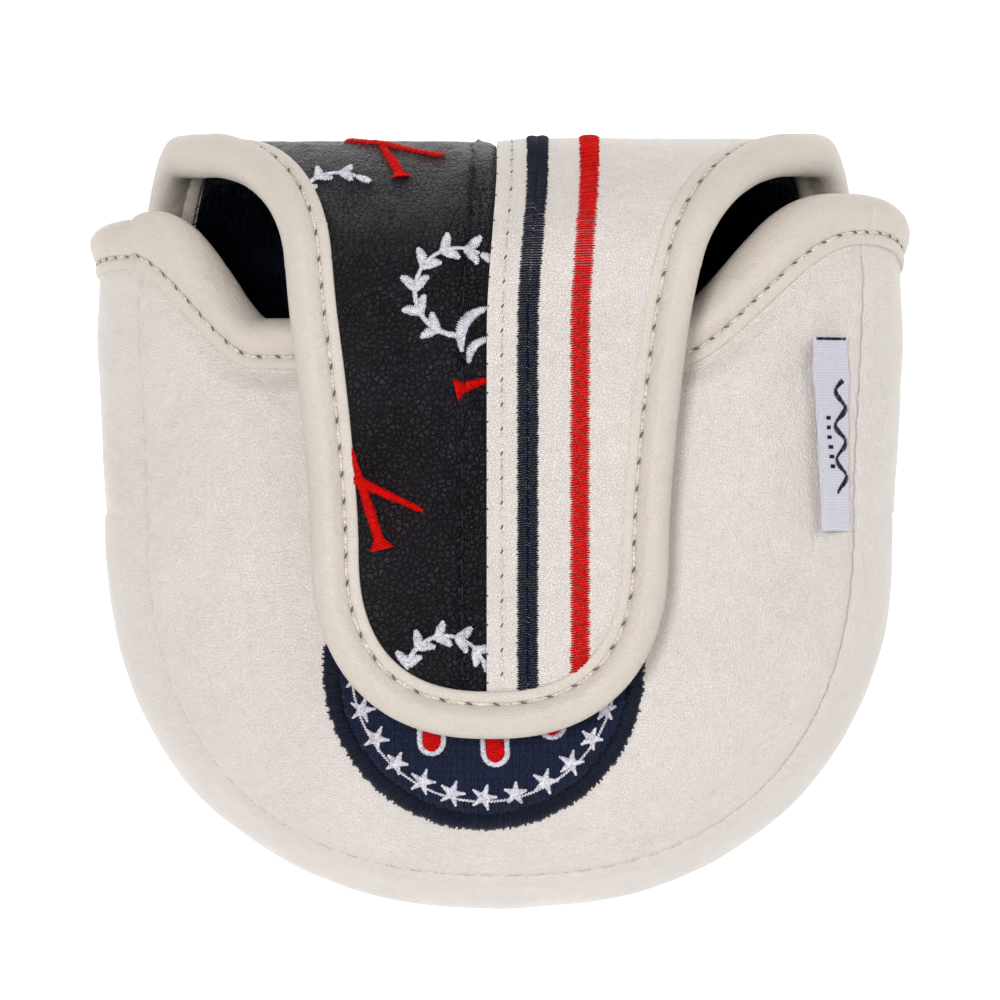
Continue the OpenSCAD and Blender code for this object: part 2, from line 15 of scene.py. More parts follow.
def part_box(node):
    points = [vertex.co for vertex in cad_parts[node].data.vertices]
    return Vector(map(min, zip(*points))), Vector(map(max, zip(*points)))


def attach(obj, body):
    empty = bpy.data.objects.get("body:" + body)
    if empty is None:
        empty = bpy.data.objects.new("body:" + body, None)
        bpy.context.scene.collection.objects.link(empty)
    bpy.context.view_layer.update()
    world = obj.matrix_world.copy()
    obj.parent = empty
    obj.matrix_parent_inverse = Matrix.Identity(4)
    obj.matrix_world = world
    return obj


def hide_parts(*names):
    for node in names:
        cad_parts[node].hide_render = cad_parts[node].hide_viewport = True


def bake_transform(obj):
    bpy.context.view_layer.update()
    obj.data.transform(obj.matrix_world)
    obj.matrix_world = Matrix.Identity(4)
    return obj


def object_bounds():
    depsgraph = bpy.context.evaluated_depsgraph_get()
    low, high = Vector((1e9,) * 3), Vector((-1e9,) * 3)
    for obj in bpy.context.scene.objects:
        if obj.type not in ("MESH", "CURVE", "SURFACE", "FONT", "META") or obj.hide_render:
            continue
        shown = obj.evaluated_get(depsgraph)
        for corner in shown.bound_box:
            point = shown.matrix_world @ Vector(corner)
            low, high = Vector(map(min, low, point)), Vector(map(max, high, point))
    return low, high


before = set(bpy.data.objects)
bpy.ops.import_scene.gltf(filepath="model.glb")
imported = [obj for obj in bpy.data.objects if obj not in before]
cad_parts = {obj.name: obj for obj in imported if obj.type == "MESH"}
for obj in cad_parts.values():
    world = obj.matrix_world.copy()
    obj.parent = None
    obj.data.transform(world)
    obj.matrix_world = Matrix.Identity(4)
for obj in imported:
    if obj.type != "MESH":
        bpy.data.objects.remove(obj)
cad_low, cad_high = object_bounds()

MM = 0.001


def top_of(node):
    """Highest corner of a CAD node, in millimetres."""
    return np.array(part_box(node)[1]) / MM


# ---------- sizes of the design ----------
# Half widths (HALF_W), lengths past the middle (END_L), radii (R), widths (W), thicknesses (T), heights
# above the back (Z), and the powers of the superellipses that round the outlines (POWER).
FRONT_HALF_W = 56.5
FRONT_END_L = 57.2
FRONT_POWER = 2.4
FRONT_SEAM_Z = 33.0
FRONT_CROWN_Z = top_of("front_panel")[2]
POUCH_HALF_W = 63.0
POUCH_END_L = 62.0
POUCH_POWER = 2.25
BACK_HALF_W = 58.0
BACK_END_L = 57.5
BACK_SEAM_Z = 7.0
MOUTH_FLARE = 1.5                       # the pouch is this much wider at its mouth
FLARE_RUN = 40
MOUTH_HALF_W = FRONT_HALF_W + MOUTH_FLARE
LEATHER_T = 1.2
POUCH_WALL = 4.0
FLAP_WALL = 3.4
LINING_T = 3.5
BRIDGE_LINING_T = 2.8
MOUTH_DIP_Y = 23.8
MOUTH_BACK_Y = 38.0
LEFT_MOUTH = (39.0, 61.0, 40.8)         # where the mouth line starts and ends rising, and its top
RIGHT_MOUTH = (27.0, 57.5, 43.9)
COLLAR_W = 8.2
FLAP_Z = top_of("flap_black_panel")[2]
FLAP_BACK_Y = 60.0
ROOT_R = 24.0
FOLD_R = 20.0
TONGUE_TIP_L = 35.0
TIP_L = 30.0
TIP_POWER = 2.35
TONGUE_HALF_W = 28.4
FOLD_HALF_W = 33.0
ROOT_HALF_W = 57.0
TONGUE_LEAN = -1.6                      # the tongue's middle lies this far to one side
LEAN_START = 95
LEAN_RUN = 30
ROOT_TAPER = 2.7
BINDING_W = 7.6
DOME_POWER = 3.0
DOME_EDGE = 0.7
DISH_POWER = 8.0
TUCK = 5.0                              # the panels run this far under the bindings
EDGE_IN = BINDING_W - TUCK
SPLIT_X = -0.5
NAVY_X = 6.0
RED_X = 14.3
STRIPE_W = 3.1
BADGE = np.array([-2.6, -24.2])
BADGE_R = 25.6
BORDER_W = 2.7
STAR_COUNT = 25
STAR_RING_R = 20.3

ROOT_START = FLAP_BACK_Y - ROOT_R
ROOT_END = ROOT_START + ROOT_R * math.pi / 2
FOLD_START = ROOT_END + FLAP_Z - FOLD_R - ROOT_R
FOLD_END = FOLD_START + FOLD_R * math.pi / 2
FOLD_Y = FLAP_BACK_Y - FOLD_R
TIP_START = FOLD_END + FOLD_Y + TONGUE_TIP_L - TIP_L
ROOT_CUT = (ROOT_START + ROOT_END) / 2
PART_S = (ROOT_END + FOLD_START) / 2    # the flap's lower and upper parts meet halfway up the bridge
FACING_S = 47.5                         # the facing leather starts here, on the back


# ---------- small maths ----------
def lerp(a, b, t):
    return a + (b - a) * t


def smooth(t):
    c = np.clip(t, 0, 1)
    return c * c * (3 - 2 * c)


def signed_pow(v, p):
    return np.sign(v) * np.abs(v) ** p


def stack(x, y, z):
    return np.stack(np.broadcast_arrays(x, y, z), axis=-1).astype(float)


def unit(v):
    return v / np.maximum(np.linalg.norm(v, axis=-1, keepdims=True), 1e-9)


def bell(distance, width):
    return np.exp(-((distance / width) ** 2))


def run_along(points):
    """Distance covered from the first point to each of the others."""
    return np.concatenate([[0], np.cumsum(np.linalg.norm(np.diff(points, axis=0), axis=1))])


def rows_at(at, run, table):
    """Rows of a table, read at distances along the run of its rows."""
    return np.stack([np.interp(at, run, column) for column in table.T], -1)


def ripple(points, wavelength, seed, waves=7):
    """Gentle unevenness around 0, about 1 high, that doesn't repeat."""
    rng = np.random.default_rng(seed)
    total = 0
    for _ in range(waves):
        way = unit(rng.normal(size=3))
        turns = 2 * math.pi / (wavelength * rng.uniform(0.7, 1.5))
        total = total + np.sin(points @ way * turns + rng.uniform(0, 2 * math.pi))
    return total * math.sqrt(2 / waves) * 0.6


def spline_weights(f):
    """Cubic B-spline weights of the four values round a place a share f past the second."""
    g = 1 - f
    return [g**3 / 6, (3 * f**3 - 6 * f**2 + 4) / 6, (3 * g**3 - 6 * g**2 + 4) / 6, f**3 / 6]


def sample(field, u, v):
    """Smooth value of a grid of numbers at shares u and v of its two sides."""
    rows, cols = field.shape
    x = np.clip(u, 0, 1) * (rows - 1)
    y = np.clip(v, 0, 1) * (cols - 1)
    i = np.floor(x).astype(int)
    j = np.floor(y).astype(int)
    total = 0
    for a, wa in enumerate(spline_weights(x - i)):
        row = np.clip(i + a - 1, 0, rows - 1)
        for b, wb in enumerate(spline_weights(y - j)):
            total = total + wa * wb * field[row, np.clip(j + b - 1, 0, cols - 1)]
    return total


# ---------- the design's surfaces ----------
def flare(y):
    return MOUTH_FLARE * smooth(y / FLARE_RUN)


def column_share(t):
    """Share of the half width at a share t of the way across a panel, from -1 to 1."""
    return signed_pow(np.cos(math.pi * (1 + t)), 2 / FRONT_POWER)


def column_of(share):
    """The way across at which column_share gives this share."""
    return np.arccos(-signed_pow(np.clip(share, -1, 1), FRONT_POWER / 2)) / math.pi


def rounded_end(t, length):
    """y of the pouch's rounded end."""
    return -length * np.abs(np.sin(math.pi * (1 + t))) ** (2 / FRONT_POWER)


def mouth_rise(x, start, end, top):
    """One side of the mouth line, which rises from the dip to the collar's end."""
    return lerp(MOUTH_DIP_Y, top, smooth((x - start) / (end - start)))


def mouth_line(x):
    return np.where(x < 0, mouth_rise(-x, *LEFT_MOUTH), mouth_rise(x, *RIGHT_MOUTH))


def front_mouth(share, e):
    """y at a distance e past the mouth line, measured square to it."""
    x = share * MOUTH_HALF_W
    slope = mouth_line(x + 0.5) - mouth_line(x - 0.5)
    return mouth_line(x) + e * np.sqrt(1 + slope**2)


def wall_mouth(side, g, e):
    """The same on the gusset, which runs from the front's mouth line to the back."""
    return lerp(front_mouth(side, 0), MOUTH_BACK_Y, smooth(g)) + e


def front_rho(share, y, d):
    """0 at the middle of the front panel, 1 at its seam."""
    away = (np.maximum(-y, 0) / (FRONT_END_L - d)) ** FRONT_POWER
    return np.minimum(1, (np.abs(share) ** FRONT_POWER + away) ** (1 / FRONT_POWER))


def front_point(share, y, d):
    crown = (1 - front_rho(share, y, d) ** DOME_POWER) ** DOME_EDGE
    return stack(share * (FRONT_HALF_W + flare(y) - d), y, lerp(FRONT_SEAM_Z, FRONT_CROWN_Z - d, crown))


def outline(side, y, t, half_w, end_l, power):
    """A point of a level outline: on its straight sides (side -1 or 1) or round its end (side 0)."""
    angle = math.pi * (1 + t)
    x_end = half_w * signed_pow(np.cos(angle), 2 / power)
    y_end = end_l * signed_pow(np.sin(angle), 2 / power)
    return np.where(side == 0, x_end, side * (half_w + flare(y))), np.where(side == 0, y_end, y)


def wall_point(side, y, t, g, d):
    """A point of the gusset, from the front seam (g = 0) to the back seam (g = 1)."""
    fx, fy = outline(side, y, t, FRONT_HALF_W - d, FRONT_END_L - d, FRONT_POWER)
    bx, by = outline(side, y, t, BACK_HALF_W - d, BACK_END_L - d, FRONT_POWER)
    px, py = outline(side, y, t, POUCH_HALF_W - d, POUCH_END_L - d, POUCH_POWER)
    out = np.clip(4 * g * (1 - g), 0, 1) ** 0.8
    x = lerp(fx, bx, g) + out * (px - (fx + bx) / 2)
    y = lerp(fy, by, g) + out * (py - (fy + by) / 2)
    return stack(x, y, lerp(FRONT_SEAM_Z, BACK_SEAM_Z, g))


def path(s):
    """Place (y, z) and outward direction at a distance s along back, bridge and tongue."""
    root = np.clip((s - ROOT_START) / ROOT_R, 0, math.pi / 2)
    fold = np.clip((s - FOLD_START) / FOLD_R, 0, math.pi / 2)
    y = np.minimum(s, ROOT_START) + ROOT_R * np.sin(root)
    y = y - FOLD_R * (1 - np.cos(fold)) - np.maximum(s - FOLD_END, 0)
    z = ROOT_R * (1 - np.cos(root)) + np.clip(s - ROOT_END, 0, FOLD_START - ROOT_END) + FOLD_R * np.sin(fold)
    return y, z, np.sin(root + fold), -np.cos(root + fold)


def flap_point(x, s, d):
    y, z, ny, nz = path(s)
    return stack(x, y - d * ny, z - d * nz)


def flap_mid(s):
    return TONGUE_LEAN * smooth((s - LEAN_START) / LEAN_RUN)


def flap_half_w(s):
    tip = np.clip((s - TIP_START) / TIP_L, 0, 1)
    at_tip = TONGUE_HALF_W * (1 - tip**TIP_POWER) ** (1 / TIP_POWER)
    to_fold = np.maximum(TIP_START - s, 0) / (TIP_START - FOLD_END)
    on_tongue = lerp(TONGUE_HALF_W, FOLD_HALF_W, to_fold**1.5)
    root_w = lerp(ROOT_HALF_W - ROOT_TAPER, ROOT_HALF_W, (ROOT_END - s) / (ROOT_END - ROOT_CUT))
    below = lerp(FOLD_HALF_W, root_w, smooth((FOLD_END + 2 - s) / (FOLD_END + 4 - ROOT_END)))
    return np.where(s > TIP_START, at_tip, np.where(s > FOLD_END, on_tongue, below))


def flap_inset_w(s, m):
    """Half width at a distance m inside the flap's edge."""
    slope = flap_half_w(s + 0.5) - flap_half_w(s - 0.5)
    tip = np.clip((s - TIP_START) / (TIP_L - m), 0, 1)
    at_tip = (TONGUE_HALF_W - m) * (1 - tip**TIP_POWER) ** (1 / TIP_POWER)
    return np.where(s > TIP_START, at_tip, flap_half_w(s) - m * np.sqrt(1 + slope**2))


def path_at_y(y):
    """The distance along the path at y, on the back and in the first bend."""
    turn = np.arcsin(np.clip((y - ROOT_START) / ROOT_R, 0, 1))
    return np.where(y < ROOT_START, y, ROOT_START + ROOT_R * turn)


def back_point(share, s, d, mouth_s, m):
    """A point of the back panel: its rim rises to the seam, and past the mouth it narrows."""
    y, z, ny, nz = path(s)
    joined = 1 - smooth((s - mouth_s - 0.3) / 3)
    end = (np.maximum(-s, 0) / (BACK_END_L - d)) ** FRONT_POWER
    rho = np.minimum(1, (np.abs(share) ** FRONT_POWER + end) ** (1 / FRONT_POWER))
    rim = joined * rho**DISH_POWER
    half_w = lerp(flap_inset_w(s, m), BACK_HALF_W + flare(y) - d, joined)
    lift = d * (1 - rim)
    return stack(
        share * half_w,
        y - (1 - joined) * lift * ny,
        z - lift * lerp(nz, -1, joined) + rim * (BACK_SEAM_Z - z),
    )


# ---------- meshes ----------
def quads(index):
    """Faces of a grid of point numbers."""
    return np.stack([index[:-1, :-1], index[:-1, 1:], index[1:, 1:], index[1:, :-1]], -1).reshape(-1, 4)


def place_in_scene(name, data):
    obj = bpy.data.objects.new(name, data)
    bpy.context.scene.collection.objects.link(obj)
    return obj


def make_mesh(name, points, faces, material, smooth_below=40):
    mesh = bpy.data.meshes.new(name)
    mesh.from_pydata((points * MM).tolist(), [], faces)
    work = bmesh.new()
    work.from_mesh(mesh)
    bmesh.ops.recalc_face_normals(work, faces=work.faces)
    work.to_mesh(mesh)
    work.free()
    mesh.shade_smooth()
    mesh.set_sharp_from_angle(angle=math.radians(smooth_below))
    mesh.materials.append(material)
    return place_in_scene(name, mesh)


def solid(name, outer, inner, material):
    """A closed skin between two grids of points."""
    count = outer.shape[0] * outer.shape[1]
    index = np.arange(count).reshape(outer.shape[:2])
    ring = np.concatenate([index[0, :-1], index[:-1, -1], index[-1, :0:-1], index[:0:-1, 0]])
    after = np.roll(ring, -1)
    rim = np.stack([ring, ring + count, after + count, after], -1)
    faces = np.concatenate([quads(index), quads(index + count)[:, ::-1], rim])
    points = np.concatenate([outer.reshape(-1, 3), inner.reshape(-1, 3)])
    return make_mesh(name, points, faces.tolist(), material)


SHARP_THREAD = 60         # the angle in degrees above which a thread's end is shown as an edge


def tubes(name, lines, ups, radius, material, sides=5, flat=1.0):
    """Closed round threads along many lines of points, with radius given at each point."""
    count, steps = lines.shape[:2]
    along = unit(np.gradient(lines, axis=1))
    side = unit(np.cross(along, ups))
    up = np.cross(side, along)
    angle = 2 * math.pi * np.arange(sides) / sides
    r = np.broadcast_to(radius, (count, steps))[:, :, None, None]
    ring = np.cos(angle)[:, None] * up[:, :, None] * flat + np.sin(angle)[:, None] * side[:, :, None]
    points = lines[:, :, None] + r * ring
    index = np.arange(count * steps * sides).reshape(count, steps, sides)
    after = np.roll(index, -1, axis=2)
    walls = np.stack([index[:, :-1], after[:, :-1], after[:, 1:], index[:, 1:]], -1).reshape(-1, 4)
    faces = walls.tolist() + index[:, 0].tolist() + index[:, -1, ::-1].tolist()
    return make_mesh(name, points.reshape(-1, 3), faces, material, SHARP_THREAD)


# ---------- cloth ----------
SIM_SCALE = 0.01          # the cloth is simulated with 100 mm as one unit
SIM_STEPS = 20
LEATHER_IN_CLOTH = {
    "quality": 6,
    "mass": 0.3,
    "vertex_group_mass": "seams",
    "tension_stiffness": 40,
    "compression_stiffness": 40,
    "shear_stiffness": 20,
    "bending_stiffness": 2,
    "use_pressure": True,
}


def swell(grid, pressure, slack, cap):
    """How far a leather panel held along its seams moves outwards under pressure, at most about cap."""
    mesh = bpy.data.meshes.new("panel_in_cloth")
    index = np.arange(grid.shape[0] * grid.shape[1]).reshape(grid.shape[:2])
    mesh.from_pydata((grid.reshape(-1, 3) * SIM_SCALE).tolist(), [], quads(index).tolist())
    panel = place_in_scene("panel_in_cloth", mesh)
    held = panel.vertex_groups.new(name="seams")
    edge = np.unique(np.concatenate([index[0], index[-1], index[:, 0], index[:, -1]]))
    held.add(edge.tolist(), 1.0, "REPLACE")
    cloth = panel.modifiers.new("leather", "CLOTH")
    for setting, value in LEATHER_IN_CLOTH.items():
        setattr(cloth.settings, setting, value)
    cloth.settings.shrink_min = -slack
    cloth.settings.uniform_pressure_force = pressure
    cloth.settings.effector_weights.gravity = 0
    cloth.collision_settings.use_collision = False
    scene = bpy.context.scene
    for step in range(1, SIM_STEPS + 1):
        scene.frame_set(step)
    shaped = panel.evaluated_get(bpy.context.evaluated_depsgraph_get())
    moved = np.zeros(len(mesh.vertices) * 3)
    shaped.data.vertices.foreach_get("co", moved)
    moved = moved.reshape(grid.shape) / SIM_SCALE - grid
    outward = unit(np.cross(np.gradient(grid, axis=1), np.gradient(grid, axis=0)))
    bpy.data.objects.remove(panel)
    scene.frame_set(1)
    return cap * np.tanh((moved * outward).sum(-1) / cap)


# ---------- front panel ----------
def front_y(t, v, e, d):
    return lerp(rounded_end(t, FRONT_END_L - d), front_mouth(column_share(t), e), v)


def front_grid(t, v, e, d):
    """The drawn front panel at depth d: t across it, v from its rounded end to e past the mouth line."""
    return front_point(column_share(t), front_y(t, v, e, d), d)


SIM_EDGE = 2              # the simulated leather ends this far past the mouth line
SIM_T = np.linspace(0, 1, 72)[None, :]
SIM_V = np.linspace(0, 1, 44)[:, None]
front_swell = swell(front_grid(SIM_T, SIM_V, SIM_EDGE, 0), pressure=5, slack=0.006, cap=1.6)

NEEDLE_PITCH = 4.3
SEAM_DEPTH = 1.15         # how far a seam lies below the padding beside it
PUCKER_REACH = 2.2
AROUND_X = 0.55           # with it, x and y together give a run along seams that face any way


def pucker(base, gap, height, turn=0):
    """Small pulls in the leather beside a seam, one for each stitch."""
    around = base[..., 0] * AROUND_X + base[..., 1]
    pull = height * np.exp(-gap / PUCKER_REACH) * np.sin(2 * math.pi * around / NEEDLE_PITCH + turn)
    return pull * smooth(gap / 0.8)


def shoulder(gap):
    """The padding beside a seam stands above it."""
    return SEAM_DEPTH * (1 - np.exp(-gap / 0.7))


def front_lift(share, y):
    """How far the front leather stands above its drawn face, with its seams drawn in.

    Slow and fine ripples keep it from being even, and fade out at the seam and the collar.
    """
    t = column_of(share)
    end = rounded_end(t, FRONT_END_L)
    v = (y - end) / (front_mouth(share, SIM_EDGE) - end)
    base = front_point(share, y, 0)
    seam = (1 - front_rho(share, y, 0)) * FRONT_HALF_W
    collar = mouth_line(share * MOUTH_HALF_W) - y
    lift = sample(front_swell, v, t) + 0.22 * ripple(base, 26, 3) + 0.05 * ripple(base, 7, 4)
    lift = lift * smooth(seam / 6) * smooth(collar / 7 + 0.4)
    return lift + pucker(base, seam, 0.16) + shoulder(seam) * smooth(collar / 4)


def on_front(x, y, h):
    """A place on the front leather, h above it."""
    half_w = FRONT_HALF_W + flare(y)
    lift = front_lift(x / half_w, y) + h
    return front_point(x / (half_w + lift), y, -lift)


# ---------- gusset ----------
def wall_place(q, e, g):
    """Side, row and way round of a station q from the left mouth (0) to the right one (3)."""
    side = np.where(q < 1, -1, np.where(q > 2, 1, 0))
    share = np.where(q < 1, 1 - q, np.where(q > 2, q - 2, 0))
    y = share**1.3 * wall_mouth(side, g, e)
    return side, y, np.clip(q - 1, 0, 1)


def wall_surface(q, g, e, d):
    side, y, t = wall_place(q, e, g)
    return wall_point(side, y, t, g, d)


SIM_Q = np.linspace(0, 3, 150)[None, :]
SIM_G = np.linspace(1, 0, 16)[:, None]
GUSSET_H = 30
wall_swell = swell(wall_surface(SIM_Q, SIM_G, SIM_EDGE, 0), pressure=5, slack=0.008, cap=1.1)


def wall_lift(q, g):
    """How far the gusset leather stands above its drawn face."""
    base = wall_surface(q, g, 0, 0)
    edge = np.minimum(g * GUSSET_H, (1 - g) * GUSSET_H)
    lift = sample(wall_swell, 1 - g, q / 3) + 0.16 * ripple(base, 24, 5) + 0.04 * ripple(base, 7, 6)
    share = np.clip(np.abs(q - 1.5) - 0.5, 0, 1)
    below_collar = (1 - share**1.3) * MOUTH_BACK_Y - TUCK
    lift = lift * smooth(edge / 5)
    return lift + pucker(base, edge, 0.14, 0.6) + 0.6 * shoulder(edge) * smooth(below_collar / 12)


# ---------- flap ----------
def flap_edge_gap(x, s):
    """Distance to the flap's edge, near enough for fading."""
    half_w = flap_half_w(np.minimum(s, TIP_START))
    across = np.abs(x - flap_mid(s)) / half_w
    past = np.maximum(s - TIP_START, 0) / TIP_L
    return half_w * (1 - (across**TIP_POWER + past**TIP_POWER) ** (1 / TIP_POWER))


def facing_sides(dark, s):
    """Where one half of the facing starts and ends. The dark half runs a little under the light one."""
    inset = flap_inset_w(s, EDGE_IN)
    seam = flap_mid(s) + SPLIT_X
    if dark:
        return np.minimum(flap_mid(s) - inset, seam - 0.4), seam + 0.5
    return seam, np.maximum(flap_mid(s) + inset, seam + 0.4)


def facing_x(dark, s, k):
    first, last = facing_sides(dark, s)
    return lerp(first, last, k)


FACING_END = TIP_START + (TIP_L - EDGE_IN) * 0.9985
SIM_S = np.linspace(FACING_END, FACING_S, 90)[:, None]


def facing_swell(dark):
    x = facing_x(dark, SIM_S, np.linspace(0, 1, 22)[None, :])
    return swell(flap_point(x, SIM_S, 0), pressure=3, slack=0.012, cap=0.6)


dark_swell = facing_swell(True)
light_swell = facing_swell(False)
PALE_ROW = 1.9            # the rows of top-stitching beside the split, from the flap's middle
DARK_ROW = -4.4


def flap_lift(x, s, dark):
    """How far one half of the facing stands above the drawn face."""
    first, last = facing_sides(dark, s)
    along = (FACING_END - s) / (FACING_END - FACING_S)
    base = flap_point(x, s, 0)
    lift = sample(dark_swell if dark else light_swell, along, (x - first) / (last - first))
    from_mid = x - flap_mid(s)
    if dark:
        creases = np.abs(ripple(base * [1.0, 0.6, 1.0], 9, 11)) - 0.4
        lift = lift + 0.10 * creases + 0.04 * ripple(base, 3.2, 12)
        ridge = bell(from_mid - DARK_ROW - 0.9, 0.4) - 0.7 * bell(from_mid - DARK_ROW, 0.4)
        lift = lift + 0.4 * ridge - 0.3 * np.exp((from_mid + 0.9) / 0.5)
    else:
        lift = lift + 0.08 * ripple(base, 14, 13) + 0.02 * ripple(base, 4, 14)
        lift = lift + 0.45 - 0.2 * bell(from_mid - PALE_ROW, 0.45)
    return lift * smooth((flap_edge_gap(x, s) - 5.5) / 3)


def on_flap(x, s, h):
    """A place on the flap's facing, h above it."""
    lift = np.where(x < flap_mid(s) + SPLIT_X, flap_lift(x, s, True), flap_lift(x, s, False))
    return flap_point(x, s, -(lift + h))


def on_tongue(x, y, h):
    """A place on the tongue's dark half, h above it, by its flat coordinates.

    Embroidery that reaches the light half or the binding dives under its edge.
    """
    s = FOLD_END + FOLD_Y - y
    last = flap_mid(s) + SPLIT_X - 0.3
    into_binding = BINDING_W - 0.1 - flap_edge_gap(x, s)
    under = np.maximum(smooth((x - last) / 0.5), smooth(into_binding / 0.4))
    lift = flap_lift(np.minimum(x, last), s, True) + h - 0.7 * under
    return flap_point(x, s, -lift)


# ---------- material helpers ----------
class Shader:
    """A Principled material whose nodes are added one by one."""

    def __init__(self, name, roughness, **constants):
        self.material = bpy.data.materials.new(name)
        self.material.use_nodes = True
        self.tree = self.material.node_tree
        self.bsdf = self.tree.nodes["Principled BSDF"]
        self.bsdf.inputs["Roughness"].default_value = roughness
        for socket, value in constants.items():
            self.bsdf.inputs[socket.replace("_", " ")].default_value = value
        self.place = self.tree.nodes.new("ShaderNodeTexCoord").outputs["Object"]

    def node(self, kind, **values):
        node = self.tree.nodes.new(kind)
        for key, value in values.items():
            if hasattr(node, key):
                setattr(node, key, value)
            else:
                node.inputs[key.replace("_", " ")].default_value = value
        return node

    def link(self, a, b):
        self.tree.links.new(a, b)

    def noise(self, scale, detail=4.0, roughness=0.55, distortion=0.0):
        node = self.node("ShaderNodeTexNoise", Scale=scale, Detail=detail, Distortion=distortion)
        node.inputs["Roughness"].default_value = roughness
        self.link(self.place, node.inputs["Vector"])
        return node.outputs["Fac"]

    def cells(self, scale, wander=0.0):
        """Raised pebbles with creases between them."""
        node = self.node("ShaderNodeTexVoronoi", feature="DISTANCE_TO_EDGE", Scale=scale)
        place = self.place
        if wander:
            shift = self.node("ShaderNodeTexNoise", Scale=scale * 0.6, Detail=3.0)
            self.link(self.place, shift.inputs["Vector"])
            mixed = self.node("ShaderNodeMix", data_type="VECTOR")
            mixed.inputs[0].default_value = wander
            self.link(self.place, mixed.inputs[4])
            self.link(shift.outputs["Color"], mixed.inputs[5])
            place = mixed.outputs[1]
        self.link(place, node.inputs["Vector"])
        return self.span(node.outputs["Distance"], 0.0, 0.16, 0.0, 1.0)

    def span(self, value, low, high, to_low, to_high):
        node = self.node("ShaderNodeMapRange")
        for k, v in enumerate((low, high, to_low, to_high)):
            node.inputs[k + 1].default_value = v
        self.link(value, node.inputs["Value"])
        return node.outputs["Result"]

    def add(self, a, b, share=1.0):
        node = self.node("ShaderNodeMath", operation="MULTIPLY_ADD")
        self.link(b, node.inputs[0])
        node.inputs[1].default_value = share
        self.link(a, node.inputs[2])
        return node.outputs[0]

    def colour(self, value, stops):
        node = self.node("ShaderNodeValToRGB")
        ramp = node.color_ramp
        while len(ramp.elements) < len(stops):
            ramp.elements.new(0.5)
        for element, (at, rgb) in zip(ramp.elements, stops):
            element.position = at
            element.color = (*rgb, 1)
        self.link(value, node.inputs["Fac"])
        self.link(node.outputs["Color"], self.bsdf.inputs["Base Color"])

    def roughness(self, value, low, high):
        self.link(self.span(value, 0.3, 0.7, low, high), self.bsdf.inputs["Roughness"])

    def bump(self, value, height, strength=1.0):
        node = self.node("ShaderNodeBump", Strength=strength, Distance=height)
        self.link(value, node.inputs["Height"])
        self.link(node.outputs["Normal"], self.bsdf.inputs["Normal"])


def shade(rgb, factor):
    return tuple(min(1.0, c * factor) for c in rgb)


# ---------- materials ----------
# Colours are linear. Pebbles, cells and noise are counted per metre, and bump heights are in metres.
IVORY = (0.735, 0.675, 0.635)
BINDING_IVORY = (0.655, 0.588, 0.522)
BLACK = (0.009, 0.008, 0.012)
NAVY = (0.005, 0.008, 0.021)
RED = (0.56, 0.003, 0.002)
WHITE = (0.66, 0.64, 0.72)
PLUSH = (0.002, 0.0035, 0.009)
BLACK_PEBBLE = 1050
BLACK_GRAIN = 1500
BLACK_FOLDS = 260
THREAD_TWIST = 4200


def leather(name, rgb, pebble, height, rough):
    """Fine-grained leather: faint pebbles over broad creases, a little mottled."""
    s = Shader(name, rough, Specular_IOR_Level=0.35, Coat_Weight=0.03, Coat_Roughness=0.35)
    grain = s.cells(pebble, 0.0003)
    fine = s.noise(pebble * 1.3, 5.0)
    broad = s.noise(pebble * 0.16, 7.0, 0.62, 0.8)
    mottle = s.noise(55, 3.0)
    s.colour(s.add(s.span(fine, 0.3, 0.7, 0.0, 0.3), mottle, 0.7),
             [(0.2, shade(rgb, 0.93)), (0.5, rgb), (0.8, shade(rgb, 1.04))])
    s.roughness(fine, rough - 0.07, rough + 0.1)
    s.bump(s.add(s.add(s.span(grain, 0, 1, 0, 0.45), fine, 0.7), broad, 3.2), height)
    return s.material


def black_leather():
    """Coarser, glossier leather: pebbles of about a millimetre over deep creases."""
    s = Shader("black_leather", 0.3, Specular_IOR_Level=0.42)
    grain = s.cells(BLACK_PEBBLE, 0.0005)
    fine = s.noise(BLACK_GRAIN, 4.0)
    folds = s.noise(BLACK_FOLDS, 7.0, 0.62, 1.4)
    s.colour(s.noise(80, 3.0), [(0.3, shade(BLACK, 0.7)), (0.7, shade(BLACK, 1.4))])
    s.roughness(folds, 0.22, 0.34)
    s.bump(s.add(s.add(s.span(grain, 0, 1, 0, 0.6), fine, 0.6), folds, 2.2), 0.0009)
    return s.material


def thread(name, rgb, shine=0.22, gloss=0.42):
    """Shiny embroidery thread with a fine twist along it, its colour darkened and lightened in small
    blotches as painted shade and highlights.
    """
    s = Shader(name, gloss, Specular_IOR_Level=shine)
    ply = s.noise(THREAD_TWIST, 3.0)
    # Colour from the twist noise and blotches about 0.7 mm across, 0.35 to 1.6 times the thread's colour:
    # painted shade and highlights.
    s.colour(s.add(s.span(ply, 0.3, 0.7, 0.0, 0.45), s.noise(1500, 2.0), 0.55),
             [(0.2, shade(rgb, 0.35)), (0.5, rgb), (0.8, shade(rgb, 1.6))])
    s.roughness(ply, gloss - 0.1, gloss + 0.12)
    s.bump(ply, 0.00012)
    return s.material


def plush():
    s = Shader("plush", 0.9, Specular_IOR_Level=0.08)
    s.colour(s.noise(500, 5.0), [(0.3, shade(PLUSH, 0.5)), (0.6, PLUSH), (0.8, shade(PLUSH, 3.2))])
    s.bump(s.noise(900, 6.0), 0.001)
    return s.material


